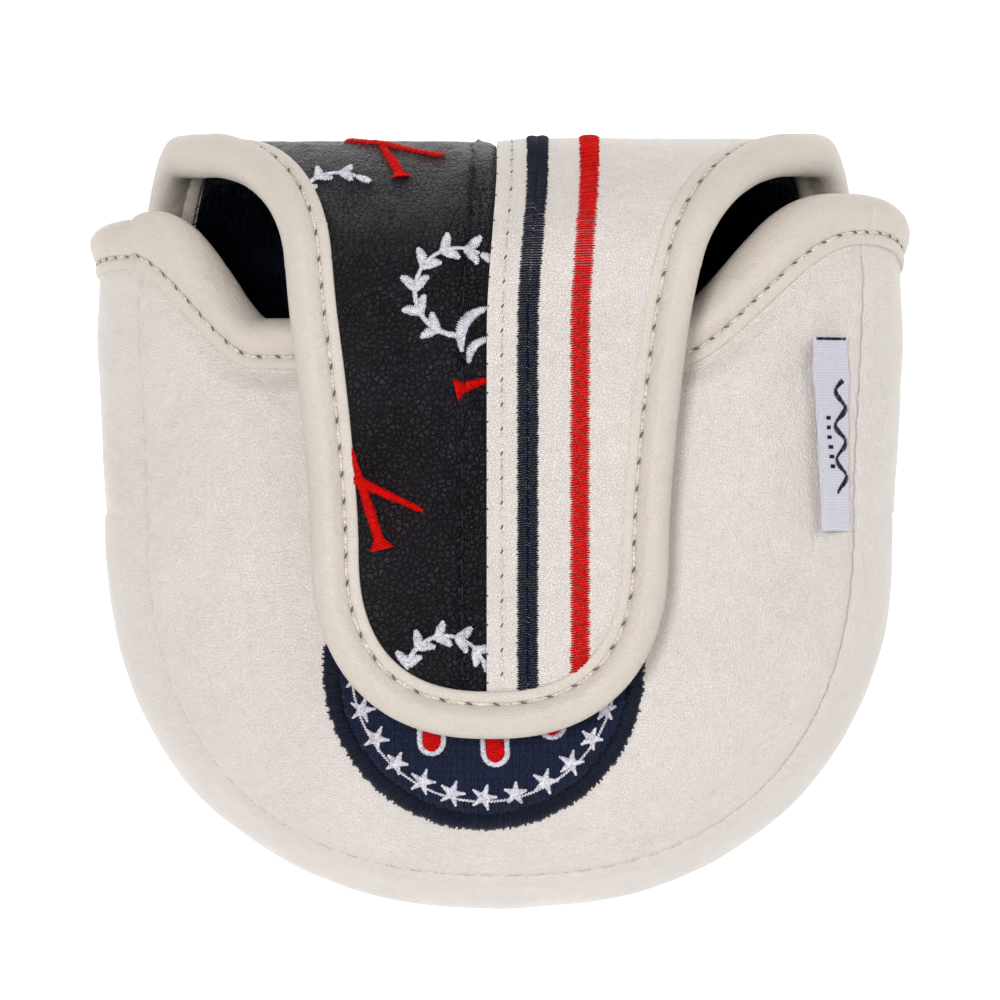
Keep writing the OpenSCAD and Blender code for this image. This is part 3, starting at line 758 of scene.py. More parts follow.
def woven_label():
    """Satin weave: fine ribs both ways."""
    s = Shader("woven_label", 0.5, Sheen_Weight=0.3, Sheen_Roughness=0.4)
    warp = s.node("ShaderNodeTexWave", Scale=900.0, Distortion=0.4)
    warp.bands_direction = "X"
    weft = s.node("ShaderNodeTexWave", Scale=700.0, Distortion=0.4)
    weft.bands_direction = "Y"
    s.link(s.place, warp.inputs["Vector"])
    s.link(s.place, weft.inputs["Vector"])
    weave = s.add(warp.outputs["Fac"], weft.outputs["Fac"], 1.0)
    s.colour(weave, [(0.2, (0.50, 0.49, 0.56)), (1.0, (0.62, 0.61, 0.69))])
    s.bump(weave, 0.00006)
    return s.material


def plain(name, low, high, rough, scale, height, **constants):
    """Hidden materials: mottled colour and a little texture."""
    s = Shader(name, rough, **constants)
    spots = s.noise(scale, 5.0)
    s.colour(spots, [(0.3, low), (0.7, high)])
    s.roughness(spots, rough - 0.08, rough + 0.08)
    s.bump(spots, height)
    return s.material


ivory_leather = leather("ivory_leather", IVORY, pebble=1900, height=0.00017, rough=0.38)
binding_leather = leather("binding_leather", BINDING_IVORY, pebble=2000, height=0.00010, rough=0.42)
black_leather_mat = black_leather()
ivory_thread = thread("ivory_thread", (0.62, 0.565, 0.51), 0.2, 0.6)
black_thread = thread("black_thread", (0.01, 0.01, 0.014), 0.15, 0.5)
navy_thread = thread("navy_thread", NAVY)
# The badge's ground uses the navy thread painted 2.4 times lighter: painted highlight for the glints on its
# stitches.
knit_thread_painted_glint = thread("knit_thread_painted_glint", shade(NAVY, 2.4), 0.35)
red_thread = thread("red_thread", RED, 0.12)
white_thread = thread("white_thread", WHITE)
# Dark grey-brown for the needle slits and ticks: painted shade in the needle holes.
needle_shadow = plain("needle_shadow", (0.07, 0.062, 0.05), (0.16, 0.14, 0.12), 0.9, 1200, 0.00005)
plush_mat = plush()
label_mat = woven_label()
foam_mat = plain("foam", (0.5, 0.5, 0.48), (0.62, 0.62, 0.6), 0.9, 1400, 0.0004)
board_mat = plain("board", (0.28, 0.24, 0.18), (0.36, 0.31, 0.24), 0.8, 700, 0.0001)
magnet_mat = plain("magnet", (0.5, 0.5, 0.52), (0.6, 0.6, 0.62), 0.3, 900, 0.00003, Metallic=1.0)


# ---------- placing pieces ----------
def on_shell(piece, slot, *nodes):
    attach(piece, "shell")
    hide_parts(*nodes)
    return piece


def on_root(piece, slot, *nodes):
    """A piece of the flap's lower half, whose shape curves where the flap leaves the back: it is baked in
    place and the CAD nodes it replaces are hidden.
    """
    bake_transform(piece)
    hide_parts(*nodes)
    return piece


def on_fold(piece, slot, *nodes):
    """A piece of the flap's upper half, whose shape curves where the tongue folds over: it is baked in place
    and the CAD nodes it replaces are hidden.
    """
    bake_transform(piece)
    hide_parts(*nodes)
    return piece


def joined(name, pieces):
    """Several meshes as one piece, each with its own material."""
    with bpy.context.temp_override(active_object=pieces[0], selected_editable_objects=pieces):
        bpy.ops.object.join()
    pieces[0].name = name
    return pieces[0]


# ---------- padded panels ----------
def make_front():
    t = np.linspace(0, 1, 260)[None, :]
    v = np.linspace(0, 1, 190)[:, None] ** 1.4
    share = column_share(t)
    y = front_y(t, v, TUCK, 0)
    outer = front_point(share, y, -front_lift(share, y))
    pad = solid("front_panel_leather", outer, front_grid(t, v, TUCK, POUCH_WALL), ivory_leather)
    on_shell(pad, "ivory_leather", "front_panel", "front_foam")
    lining_out = front_grid(t[:, ::3], v[::3], -0.3, POUCH_WALL + 2.2)
    lining_in = front_grid(t[:, ::3], v[::3], -0.3, POUCH_WALL + LINING_T)
    lining_in = lining_in - [0, 0, 0.5] * (1 + ripple(lining_in, 5, 21))[..., None]
    lining = solid("front_lining_plush", lining_out, lining_in, plush_mat)
    on_shell(lining, "plush", "front_lining")


def make_gusset():
    q = np.linspace(0, 3, 620)[None, :]
    g = (0.5 - 0.5 * np.cos(np.linspace(0, math.pi, 46)))[:, None]
    side, y, t = wall_place(q, TUCK, g)
    outer = wall_point(side, y, t, g, -wall_lift(q, g))
    pad = solid("gusset_leather", outer, wall_surface(q, g, TUCK, POUCH_WALL), ivory_leather)
    on_shell(pad, "ivory_leather", "gusset", "gusset_foam")
    lining_out = wall_surface(q[:, ::3], g[::3], -0.3, POUCH_WALL + 0.3)
    lining_in = wall_surface(q[:, ::3], g[::3], -0.3, POUCH_WALL + LINING_T)
    lining = solid("gusset_lining_plush", lining_out, lining_in, plush_mat)
    on_shell(lining, "plush", "gusset_lining")


def back_grid(t, v, last_s, d, m):
    """The back panel at depth d, rows from its rounded end past the mouth to last_s."""
    mouth_s = path_at_y(MOUTH_BACK_Y + TUCK)
    y = lerp(rounded_end(t, BACK_END_L - d), MOUTH_BACK_Y + TUCK, v)
    pouch = path_at_y(y)
    beyond = mouth_s + np.linspace(0.25, last_s - mouth_s, 22)[:, None] + 0 * t
    return back_point(column_share(t), np.concatenate([pouch, beyond]), d, mouth_s, m)


def make_back():
    t = np.linspace(0, 1, 200)[None, :]
    v = np.linspace(0, 1, 130)[:, None] ** 1.4
    outer = back_grid(t, v, FACING_S, 0, EDGE_IN)
    low = 0.22 * (1 + ripple(outer, 24, 31)) + 0.05 * (1 + ripple(outer, 7, 32))
    outer = outer + [0, 0, 1] * (low * smooth((3 - outer[..., 2]) / 3))[..., None]
    inner = back_grid(t, v, FACING_S, FLAP_WALL, EDGE_IN)
    pad = solid("back_panel_leather", outer, inner, ivory_leather)
    on_shell(pad, "ivory_leather", "back_panel", "back_foam")
    lining_out = back_grid(t[:, ::2], v[::2], FACING_S, FLAP_WALL + 0.3, BINDING_W + 0.8)
    lining_in = back_grid(t[:, ::2], v[::2], FACING_S, FLAP_WALL + LINING_T, BINDING_W + 0.8)
    lining = solid("back_lining_plush", lining_out, lining_in, plush_mat)
    on_shell(lining, "plush", "back_lining")


# ---------- flap facing, foam and lining ----------
LOWER_S = np.linspace(FACING_S, PART_S, 52)
UPPER_S = np.concatenate([
    np.linspace(PART_S, TIP_START, 150),
    TIP_START + (TIP_L - EDGE_IN) * np.sin(np.linspace(0.02, 1.516, 64)),
])


def facing(name, dark, rows_s, material):
    s = rows_s[:, None]
    x = facing_x(dark, s, np.linspace(0, 1, 70)[None, :])
    outer = flap_point(x, s, -flap_lift(x, s, dark))
    return solid(name, outer, flap_point(x, s + 0 * x, LEATHER_T), material)


def flap_sheet(name, rows_s, m, d1, d2, material, columns=50):
    """A layer of the flap between two depths, m inside its edge."""
    s = rows_s[:, None]
    x = flap_mid(s) + np.maximum(flap_inset_w(s, m), 0.3) * np.linspace(-1, 1, columns)[None, :]
    return solid(name, flap_point(x, s + 0 * x, d1), flap_point(x, s + 0 * x, d2), material)


def make_flap():
    for dark, colour, material, slot in (
        (True, "black", black_leather_mat, "black_leather"),
        (False, "white", ivory_leather, "ivory_leather"),
    ):
        lower = facing(f"bridge_{colour}_leather", dark, LOWER_S, material)
        on_root(lower, slot, f"bridge_{colour}_panel")
        upper = facing(f"tongue_{colour}_leather", dark, UPPER_S, material)
        on_fold(upper, slot, f"flap_{colour}_panel")
    lower = flap_sheet("bridge_foam_layer", LOWER_S, EDGE_IN, LEATHER_T, FLAP_WALL, foam_mat)
    on_root(lower, "foam", "bridge_foam")
    upper = flap_sheet("tongue_foam_layer", UPPER_S, EDGE_IN, LEATHER_T, FLAP_WALL, foam_mat)
    on_fold(upper, "foam", "flap_foam")
    inside = FLAP_WALL + BRIDGE_LINING_T
    inset = BINDING_W + 0.4
    lower = flap_sheet("bridge_lining_plush", LOWER_S, inset, FLAP_WALL + 0.05, inside, plush_mat)
    on_root(lower, "plush", "bridge_lining")
    upper_s = np.minimum(UPPER_S, TIP_START + (TIP_L - inset) * 0.998)
    upper_s = np.unique(upper_s)
    outer_d = FLAP_WALL + 0.05 + 1.5 * smooth((upper_s[:, None] - FOLD_END + 3) / 4)
    upper = flap_sheet("tongue_lining_plush", upper_s, inset, outer_d, inside, plush_mat)
    on_fold(upper, "plush", "flap_lining")


# ---------- bindings ----------
COLLAR_PITCH = 3.05
LEDGE_STITCH = 2.05       # the stitch line's distance from the binding's raw edge
STITCH_DEPTH = -0.6
LEDGE_END = (2.7, -1.08)  # distance from the raw edge and depth, where the ledge turns into the roll
ROLL_R = 3.0
ROLL_H = 1.8
LEDGE = (
    (0, 0.05), (0, -0.3), (0.04, -0.52), (0.15, -0.68), (0.4, -0.78), (0.9, -0.84), (1.4, -0.83),
    (1.75, -0.72), (LEDGE_STITCH - 0.1, STITCH_DEPTH), (LEDGE_STITCH + 0.1, STITCH_DEPTH), (2.35, -0.8),
    LEDGE_END,
)


def binding_profile(w, t):
    """A folded binding's outside, from raw edge to raw edge round a wall t thick.

    It gives the way across, the depth, the weights of stitch and roll, and the way outwards.
    """
    start, level = LEDGE_END
    flat_w = w - ROLL_R - start
    rise = [(a, level - (ROLL_H + level) * math.sin((a - start) / flat_w * math.pi / 2))
            for a in np.linspace(start, w - ROLL_R, 7)[1:]]
    cap = [(w - ROLL_R + ROLL_R * math.sin(b), t / 2 - (t / 2 + ROLL_H) * math.cos(b))
           for b in np.linspace(0, math.pi / 2, 10)[1:]]
    across, depth = np.array([*LEDGE, *rise, *cap]).T
    stitch = bell(across - LEDGE_STITCH, 0.35)
    roll = smooth((across - 2.4) / 1.6)
    outward = -np.ones(len(across))

    def both_faces(face, back):
        return np.concatenate([face, back[-2::-1]])

    return (
        both_faces(across, across),
        both_faces(depth, t - depth),
        both_faces(stitch, stitch),
        both_faces(roll, roll),
        both_faces(outward, -outward),
    )


def strip_size(across, depth, run):
    """Flat width and length of the leather strip a binding is rolled from, in metres."""
    width = np.hypot(np.diff(across), np.diff(depth)).sum()
    return float(width) * MM, float(run[-1]) * MM


def stitch_path(place, depth):
    return place(np.array([LEDGE_STITCH]), np.array([depth]))[:, 0]


def binding(name, place, w, t, pitch, seed, pinch=None):
    """A rolled leather binding, its stitch line with the way up from it, and its strip's size.

    place(across, depth) gives its points, stations down and profile across.
    """
    across, depth, stitch, roll, outward = binding_profile(w, t)
    line = stitch_path(place, STITCH_DEPTH)
    up = unit(stitch_path(place, STITCH_DEPTH - 1) - line)
    run = run_along(line)
    drawn = place(across, depth)
    bulge = roll * (0.13 * ripple(drawn, 16, seed) + 0.06 * ripple(drawn, 5.5, seed + 1))
    pull = np.cos(2 * math.pi * run / pitch)[:, None]
    bulge = bulge - 0.13 * stitch * (1 + pull) - 0.05 * roll * pull * bell(across - 2.6, 1.2)
    if pinch is not None:
        bulge = bulge - pinch(run)[:, None] * roll
    outer = place(across, depth + outward * bulge)
    inner = place(np.minimum(across, w - 2), np.clip(depth, -0.08, t + 0.08))
    return solid(name, outer, inner, binding_leather), line, up, strip_size(across, depth, run)


STITCH_ARCH = 0.12        # how far a stitch's ends lie below its middle
SLIT_R = 0.16             # half the width of the dark slits, painted shade in the needle holes


def dashes(name, line, up, pitch, length, phase, radius, lift, material, flat=0.8, slant=0.0):
    """Stitches along a line of points, their ends drawn into the leather."""
    run = run_along(line)
    starts = np.arange(phase, run[-1] - length, pitch)
    share = np.linspace(0, 1, 7)
    at = starts[:, None] + length * share
    points = rows_at(at, run, line)
    ups = unit(rows_at(at, run, up))
    aside = unit(np.cross(np.gradient(points, axis=1), ups))
    points = points + aside * (slant * (share - 0.5))[:, None]
    arch = lift + STITCH_ARCH * np.sin(math.pi * share) ** 0.6 - STITCH_ARCH
    thickness = radius * np.array([0.35, 0.85, 1, 1, 1, 0.85, 0.35])
    return tubes(name, points + ups * arch[:, None], ups, thickness, material, 6, flat)


def stitch_line(name, line, up, pitch, material, hole_l=1.05, radius=0.25, lift=0.1, slant=0.4):
    """Sunk top-stitching: threads with a slanted dark slit between each two, painted shade in the needle
    hole.
    """
    sewn = dashes(name, line, up, pitch, pitch - hole_l * 0.75, hole_l * 0.4, radius, lift, material)
    phase = pitch - hole_l / 2
    slits = dashes(name + "_slits", line, up, pitch, hole_l, phase, SLIT_R, 0.08, needle_shadow, 0.5, slant)
    return joined(name, [sewn, slits])


def collar_place(stations):
    """Points of the collar: stations run 0 to 1 down the left gusset, to 2 over the front, to 3."""
    u = stations[:, None]
    side = np.where(u < 1.5, -1.0, 1.0)
    g = np.where(u < 1.5, 1 - u, u - 2) * 0.99
    share = column_share(np.clip(u - 1, 0, 1))
    over_front = (u > 1) & (u < 2)

    def place(across, depth):
        e = np.broadcast_to(across, (len(stations), across.shape[-1]))
        d = np.broadcast_to(depth, e.shape)
        front = front_point(share + 0 * e, front_mouth(share, e), d)
        wall_g = np.clip(g, 0, 1) + 0 * e
        wall = wall_point(side + 0 * e, wall_mouth(side, wall_g, e), 0, wall_g, d)
        return np.where(over_front[..., None], front, wall)

    return place


def make_collar():
    stations = np.concatenate([
        np.linspace(0, 1, 60), np.linspace(1, 2, 420)[1:-1], np.linspace(2, 3, 60),
    ])
    place = collar_place(stations)

    def pinch(run):
        """Two creases where the collar turns down towards the middle of the front."""
        return 0.5 * bell(run - run[-1] * 0.405, 1.1) + 0.25 * bell(run - run[-1] * 0.645, 1.4)

    piece, line, up, size = binding("collar_roll", place, COLLAR_W, POUCH_WALL, COLLAR_PITCH, 41, pinch)
    on_shell(piece, "binding_leather", "collar_binding")
    sewn = stitch_line("collar_stitching", line, up, COLLAR_PITCH, ivory_thread, 0.9)
    on_shell(sewn, "ivory_thread", "collar_thread")


def resample(edge, step):
    """The same edge with stations a step apart."""
    run = run_along(edge[:, :2])
    at = np.linspace(0, run[-1], int(run[-1] / step) + 1)
    even = rows_at(at, run, edge)
    even[:, 2:] = unit(even[:, 2:])
    return even


def side_edge(side, s):
    """Places (x, s) along one side of the flap, with the way inwards from each."""
    slope = flap_half_w(s + 0.5) - flap_half_w(s - 0.5)
    length = np.sqrt(1 + slope**2)
    return np.stack([flap_mid(s) + side * flap_half_w(s), s, -side / length, slope / length], -1)


def tip_edge(a):
    """The same round the tongue's tip, at angles a from its middle."""
    x = TONGUE_HALF_W * signed_pow(np.sin(a), 2 / TIP_POWER)
    s = TIP_L * np.abs(np.cos(a)) ** (2 / TIP_POWER)
    nx = signed_pow(x / TONGUE_HALF_W, TIP_POWER - 1) / TONGUE_HALF_W
    ns = (s / TIP_L) ** (TIP_POWER - 1) / TIP_L
    size = np.hypot(nx, ns)
    return np.stack([TONGUE_LEAN + x, TIP_START + s, -nx / size, -ns / size], -1)


def flap_place(edge):
    def place(across, depth):
        a = np.broadcast_to(across, (len(edge), across.shape[-1]))
        inwards = BINDING_W - a
        x = edge[:, :1] + inwards * edge[:, 2:3]
        s = edge[:, 1:2] + inwards * edge[:, 3:4]
        return flap_point(x, s, depth + 0 * a)

    return place


def flap_binding_piece(name, edge, seed):
    place = flap_place(resample(edge, EDGE_STEP))
    return binding(name, place, BINDING_W, FLAP_WALL, NEEDLE_PITCH, seed)


EDGE_STEP = 0.6
BINDING_START = 45.0      # the flap's binding starts tucked behind the collar's ends


def make_flap_binding():
    low_s = np.linspace(BINDING_START, PART_S, 300)
    rolls = []
    threads = []
    for side, word in ((-1, "left"), (1, "right")):
        roll, line, up, size = flap_binding_piece(f"bridge_roll_{word}", side_edge(side, low_s), 50 + side)
        rolls.append(roll)
        threads.append(stitch_line(f"bridge_stitching_{word}", line, up, NEEDLE_PITCH, ivory_thread))
    rolls = joined("bridge_binding_roll", rolls)
    on_root(rolls, "binding_leather", "bridge_binding", "shoulder_binding")
    on_root(joined("bridge_binding_stitching", threads), "ivory_thread", "bridge_binding_thread")
    high_s = np.linspace(PART_S, TIP_START, 500)
    tip = np.linspace(-math.pi / 2, math.pi / 2, 900)[1:-1]
    edge = np.concatenate([side_edge(-1, high_s), tip_edge(tip), side_edge(1, high_s[::-1])])
    roll, line, up, size = flap_binding_piece("tongue_binding_roll", edge, 61)
    on_fold(roll, "binding_leather", "flap_binding")
    sewn = stitch_line("tongue_binding_stitching", line, up, NEEDLE_PITCH, ivory_thread)
    on_fold(sewn, "ivory_thread", "flap_binding_thread")


# ---------- seams ----------
POUCH_PITCH = 3.8
SPLIT_PITCH = 3.9
TICK_PITCH = 4.6
FINE_THREAD_R = 0.2


def make_pouch_seams():
    q = np.linspace(0.0, 3.0, 900)
    for g, word in ((0.0, "front"), (1.0, "back")):
        level = np.full_like(q, g)
        line = wall_surface(q, level, -3, 0.2)
        up = unit(wall_surface(q, level, -3, -1) - line + [0, 0, 1 - 2 * g])
        name = f"{word}_seam_stitching"
        sewn = stitch_line(name, line, up, POUCH_PITCH, ivory_thread, 1.0, FINE_THREAD_R, lift=0.3)
        on_shell(sewn, "ivory_thread", f"{word}_seam_thread")


def flap_row(from_mid, first_s, last_s):
    """A line along the flap's face and the way up from it."""
    s = np.linspace(first_s, last_s, 500)
    x = flap_mid(s) + from_mid
    line = on_flap(x, s, 0.0)
    return line, unit(on_flap(x, s, 0.6) - line)


def flap_seam(name, first_s, last_s):
    """The pale top-stitch of the light half, the black one of the dark half and dark ticks at the split,
    painted shade in its needle holes.
    """
    line, up = flap_row(PALE_ROW, first_s, last_s)
    pale = stitch_line(name, line, up, SPLIT_PITCH, ivory_thread, 0.8, FINE_THREAD_R)
    line, up = flap_row(DARK_ROW, first_s, last_s)
    dark = dashes("dark", line, up, SPLIT_PITCH, 3.0, 0.3, FINE_THREAD_R, 0.1, black_thread)
    line, up = flap_row(SPLIT_X + 0.15, first_s, last_s)
    # Dark ticks in the needle-shadow colour: painted shade along the split.
    ticks = dashes("ticks", line, up, TICK_PITCH, 0.5, 1.4, SLIT_R, -0.05, needle_shadow)
    return joined(name, [pale, dark, ticks])


def make_flap_seams():
    lower = flap_seam("bridge_seam_stitching", FACING_S + 1, PART_S)
    on_root(lower, "ivory_thread")
    upper = flap_seam("tongue_seam_stitching", PART_S, TIP_START + TIP_L - BINDING_W - 0.5)
    on_fold(upper, "ivory_thread", "flap_seam_thread")


# ---------- embroidery ----------
def satin(centre, half_w, pitch, rise, rng, ragged=0.1, slant=0.0, points=7):
    """Threads side by side across a band along centre: their places and heights.

    Their ends are ragged, and slant leans them along the band.
    """
    run = run_along(centre)
    at = np.arange(pitch / 2, run[-1], pitch)
    mid = rows_at(at, run, centre)
    way = unit(rows_at(at, run, np.gradient(centre, run, axis=0)))
    side = np.stack([-way[:, 1], way[:, 0]], -1) + slant * way
    half = np.interp(at, run, np.broadcast_to(half_w, len(centre)))
    u = np.linspace(-1, 1, points)
    loose = rng.uniform(-ragged, ragged, (len(at), 2))
    reach = half[:, None] * u + np.where(u < 0, loose[:, :1], loose[:, 1:]) * np.abs(u)
    place = mid[:, None] + side[:, None] * reach[..., None]
    height = rise * (1 - np.abs(u) ** 3) + rng.uniform(-0.06, 0.06, (len(at), 1)) - 0.02
    return place, height


def raised(strokes, h):
    return [(place, height + h) for place, height in strokes]


def sew(name, surface, strokes, radius, material, sides=5):
    """One piece from many satin strokes on a surface."""
    place = np.concatenate([s[0] for s in strokes])
    height = np.concatenate([s[1] for s in strokes])
    lines = surface(place[..., 0], place[..., 1], height)
    ups = unit(surface(place[..., 0], place[..., 1], height + 0.6) - lines)
    taper = np.ones(place.shape[1])
    taper[[0, -1]] = 0.55
    return tubes(name, lines, ups, radius * taper, material, sides)


STRIPE_THREAD_R = 0.175


def stripe(from_mid, half_w, first_s, last_s, rng):
    s = np.linspace(first_s, last_s, 200)
    centre = np.stack([flap_mid(s) + from_mid, s], -1)
    return satin(centre, half_w, 0.38, 0.34, rng, ragged=0.13, slant=0.12)


def make_stripes():
    rng = np.random.default_rng(71)
    for colour, x, columns, material, end in (
        ("navy", NAVY_X, 2, navy_thread, 23.2),
        ("red", RED_X, 1, red_thread, 20.5),
    ):
        half_w = STRIPE_W / 2 / columns + 0.12 * (columns - 1)
        middles = [x] if columns == 1 else [x - STRIPE_W / 4, x + STRIPE_W / 4]
        lower = [stripe(m, half_w, FACING_S + 1, PART_S, rng) for m in middles]
        piece = sew(f"bridge_{colour}_satin", on_flap, lower, STRIPE_THREAD_R, material)
        on_root(piece, f"{colour}_thread", f"bridge_{colour}_stripe")
        upper = [stripe(m, half_w, PART_S, TIP_START + end, rng) for m in middles]
        piece = sew(f"tongue_{colour}_satin", on_flap, upper, STRIPE_THREAD_R, material)
        on_fold(piece, f"{colour}_thread", f"flap_{colour}_stripe")


def arc_points(centre, radius, first, last, count=60):
    angle = np.radians(np.linspace(first, last, count))
    return np.stack([centre[0] + radius * np.cos(angle), centre[1] + radius * np.sin(angle)], -1)


def on_badge(x, y, h):
    return on_front(BADGE[0] + x, BADGE[1] + y, h)


GROUND_COLUMN_W = 0.55
GROUND_ROW_H = 1.15
GROUND_STITCH_L = 1.45
GROUND_LEAN = 0.32
EMBLEM_H = 0.5            # stars and bars lie this far above the felt


def badge_base():
    """The badge's felt and its knit-like ground of slanted stitches."""
    r = BADGE_R - BORDER_W * 0.6
    a = np.radians(np.linspace(-88, 88, 120))[:, None]
    k = np.linspace(-1, 1, 90)[None, :]
    x, y = k * r * np.cos(a), r * np.sin(a) + 0 * k
    felt = solid("badge_felt", on_badge(x, y, 0.32), on_badge(x, y, 0.02), navy_thread)
    rng = np.random.default_rng(81)
    places = []
    ground_r = BADGE_R - BORDER_W + 0.3
    for column, x0 in enumerate(np.arange(-ground_r, ground_r, GROUND_COLUMN_W)):
        lean = GROUND_LEAN if column % 2 else -GROUND_LEAN
        for y0 in np.arange(-ground_r, ground_r, GROUND_ROW_H):
            if math.hypot(x0, y0 + 0.6) > ground_r - 0.4:
                continue
            x, y = rng.uniform(-0.08, 0.08, 2) + [x0, y0]
            places.append([(x + lean * (t - 0.5), y + GROUND_STITCH_L * t) for t in (0, 0.35, 0.7, 1)])
    height = np.tile([0.3, 0.5, 0.5, 0.3], (len(places), 1))
    ground = sew("badge_ground", on_badge, [(np.array(places), height)], 0.23, knit_thread_painted_glint, 4)
    on_shell(joined("badge_ground", [felt, ground]), "navy_thread", "badge_base")


def star(x, y, turn, r, rng):
    strokes = []
    for arm in range(5):
        angle = turn + arm * 2 * math.pi / 5
        tip = (x + r * math.sin(angle), y + r * math.cos(angle))
        strokes.append(satin(np.linspace((x, y), tip, 8), np.linspace(0.72, 0.1, 8), 0.27, 0.3, rng, 0.05))
    return raised(strokes, EMBLEM_H)


def star_ring(rng):
    """The ring of stars and the thin thread that links them."""
    strokes = []
    for k in range(STAR_COUNT):
        turn = 2 * math.pi * k / STAR_COUNT
        x, y = STAR_RING_R * math.sin(turn), -STAR_RING_R * math.cos(turn)
        strokes += star(x, y, rng.uniform(0, 0.5), rng.uniform(1.9, 2.15), rng)
    links = arc_points((0, 0), STAR_RING_R + 0.7, 0, 360, 500)
    link = satin(links, 0.16, 0.5, 0.12, rng, ragged=0.02, slant=1.4)
    return strokes + raised([link], EMBLEM_H + 0.05)


BARS = ((-8.3, 19, 0, -13.6), (1.3, 21, 4, -15.4), (10.9, 17, 0, -11))    # x, length, tilt, low end
BAR_HALF_W = 1.5
BAR_EDGE_R = 1.9


def bar(x, length, tilt, low, rng):
    """The filling and the outline of one rounded bar."""
    lean = math.radians(tilt)
    way = np.array([-math.sin(lean), math.cos(lean)])
    side = np.array([way[1], -way[0]])
    middle = np.array([x, low + length / 2])
    reach = length / 2 - 0.7
    along = np.linspace(-reach, reach, 60)
    to_end = np.minimum((reach - np.abs(along)) / BAR_HALF_W, 1)
    half_w = BAR_HALF_W * np.sqrt(1 - (1 - to_end) ** 2) + 0.1
    fill = satin(middle + along[:, None] * way, half_w, 0.34, 0.3, rng, 0.06)
    ends = way * (length / 2 - 2.25)
    loop = [middle + end * (ends + BAR_EDGE_R * (side * math.cos(b) + way * math.sin(b)))
            for end in (1, -1) for b in np.linspace(0, math.pi, 24)]
    outline_run = satin(np.array(loop + loop[:1]), 0.42, 0.3, 0.32, rng, 0.05)
    return raised([fill, outline_run], EMBLEM_H)


def make_badge():
    badge_base()
    rng = np.random.default_rng(82)
    ring = arc_points((0, 0), BADGE_R - BORDER_W / 2, 0, 360, 500)
    border = satin(ring, BORDER_W / 2, 0.34, 0.55, rng, ragged=0.28, slant=0.15)
    piece = sew("badge_border_satin", on_badge, raised([border], 0.15), 0.23, navy_thread)
    on_shell(piece, "navy_thread", "badge_border")
    piece = sew("badge_star_satin", on_badge, star_ring(rng), 0.17, white_thread)
    on_shell(piece, "white_thread", "badge_stars")
    fills, edges = zip(*[bar(*row, rng) for row in BARS])
    piece = sew("badge_bar_satin", on_badge, fills, 0.21, red_thread)
    on_shell(piece, "red_thread", "badge_bars")
    piece = sew("badge_bar_edges", on_badge, edges, 0.19, white_thread)
    on_shell(piece, "white_thread", "badge_bar_outlines")


def tee_stroke(tip, head, rng, head_w=2.0):
    """A golf tee in satin, from its point to its flared head."""
    along = np.linspace(0, 1, 60)
    to_head = (1 - along) * math.dist(tip, head)
    stem_w = np.interp(along, [0, 0.06, 0.6, 1], [0.2, 0.45, 0.8, 0.8])
    flared_w = np.interp(to_head, [0, 0.6, 1.6, 2.8], [head_w, head_w * 0.8, head_w * 0.45, 0])
    half_w = np.maximum(stem_w, flared_w)
    return satin(np.linspace(tip, head, 60), half_w, 0.36, 0.36, rng, ragged=0.07, slant=0.1)


def leaf(tip, root, bow, wide, rng):
    """A curved, pointed satin stroke."""
    tip, root = np.array(tip), np.array(root)
    share = np.linspace(0, 1, 50)[:, None]
    side = np.array([root[1] - tip[1], tip[0] - root[0]])
    points = tip + (root - tip) * share + bow * side * np.sin(math.pi * share)
    half_w = 0.2 + (wide - 0.2) * np.sin(math.pi * share[:, 0]) ** 0.8
    return satin(points, half_w, 0.32, 0.36, rng, ragged=0.06, slant=0.15)


def heading(angle):
    return np.array([math.cos(angle), math.sin(angle)])


def sprig(centre, radius, first, last, leaves, size, rng):
    """A curved twig in satin with small leaves along both sides."""
    stem = arc_points(centre, radius, first, last, 80)
    strokes = [satin(stem, np.linspace(0.45, 0.2, 80), 0.32, 0.3, rng, ragged=0.05, slant=0.15)]
    turn = math.copysign(1, last - first)
    for k in range(leaves):
        place = math.radians(first + (last - first) * (k + 0.7) / (leaves + 0.4))
        root = centre + radius * heading(place)
        for side in (-1, 1):
            way = place + turn * math.pi / 2 + side * 0.75
            strokes.append(leaf(root + size * heading(way), root, -0.12 * side, size * 0.24, rng))
    end = stem[-1] + size * heading(math.radians(last) + turn * math.pi / 2)
    return strokes + [leaf(end, stem[-1], 0.05, size * 0.22, rng)]


def make_tongue_embroidery():
    rng = np.random.default_rng(91)
    tees = [
        tee_stroke((-12.2, 1.2), (-28.5, 8.7), rng),
        tee_stroke((-24.3, 12.6), (-18.7, -4.9), rng),
        tee_stroke((-1.6, 22.2), (-7.2, 20.3), rng, 1.9),
        tee_stroke((-18.9, 66.0), (-15.6, 56.4), rng, 1.7),
        tee_stroke((-8.9, 63.0), (-24.5, 70.0), rng, 1.7),
    ]
    on_fold(sew("tee_satin", on_tongue, tees, 0.2, red_thread), "red_thread", "tee_embroidery")
    sprigs = [
        *sprig((-6.6, 36.0), 6.9, 268, 60, 6, 3.3, rng),
        leaf((-1.9, 33.5), (-6.0, 26.4), 0.25, 0.95, rng),
        leaf((-1.6, 28.6), (-5.0, 24.6), 0.22, 0.7, rng),
        *sprig((-8.6, -25.0), 6.4, 190, 25, 5, 3.1, rng),
        *sprig((-25.6, 51.6), 5.4, 250, 60, 4, 2.7, rng),
    ]
    piece = sew("flourish_satin", on_tongue, sprigs, 0.17, white_thread)
    on_fold(piece, "white_thread", "flourish_embroidery")


# ---------- label ----------
LABEL_L = 31.0
LABEL_Y = 13.5
LABEL_SHARES = (0.967, 0.852)    # its seam and its free edge, as shares of the front's half width
LABEL_W = 6.6
LABEL_CLOTH_T = 0.4


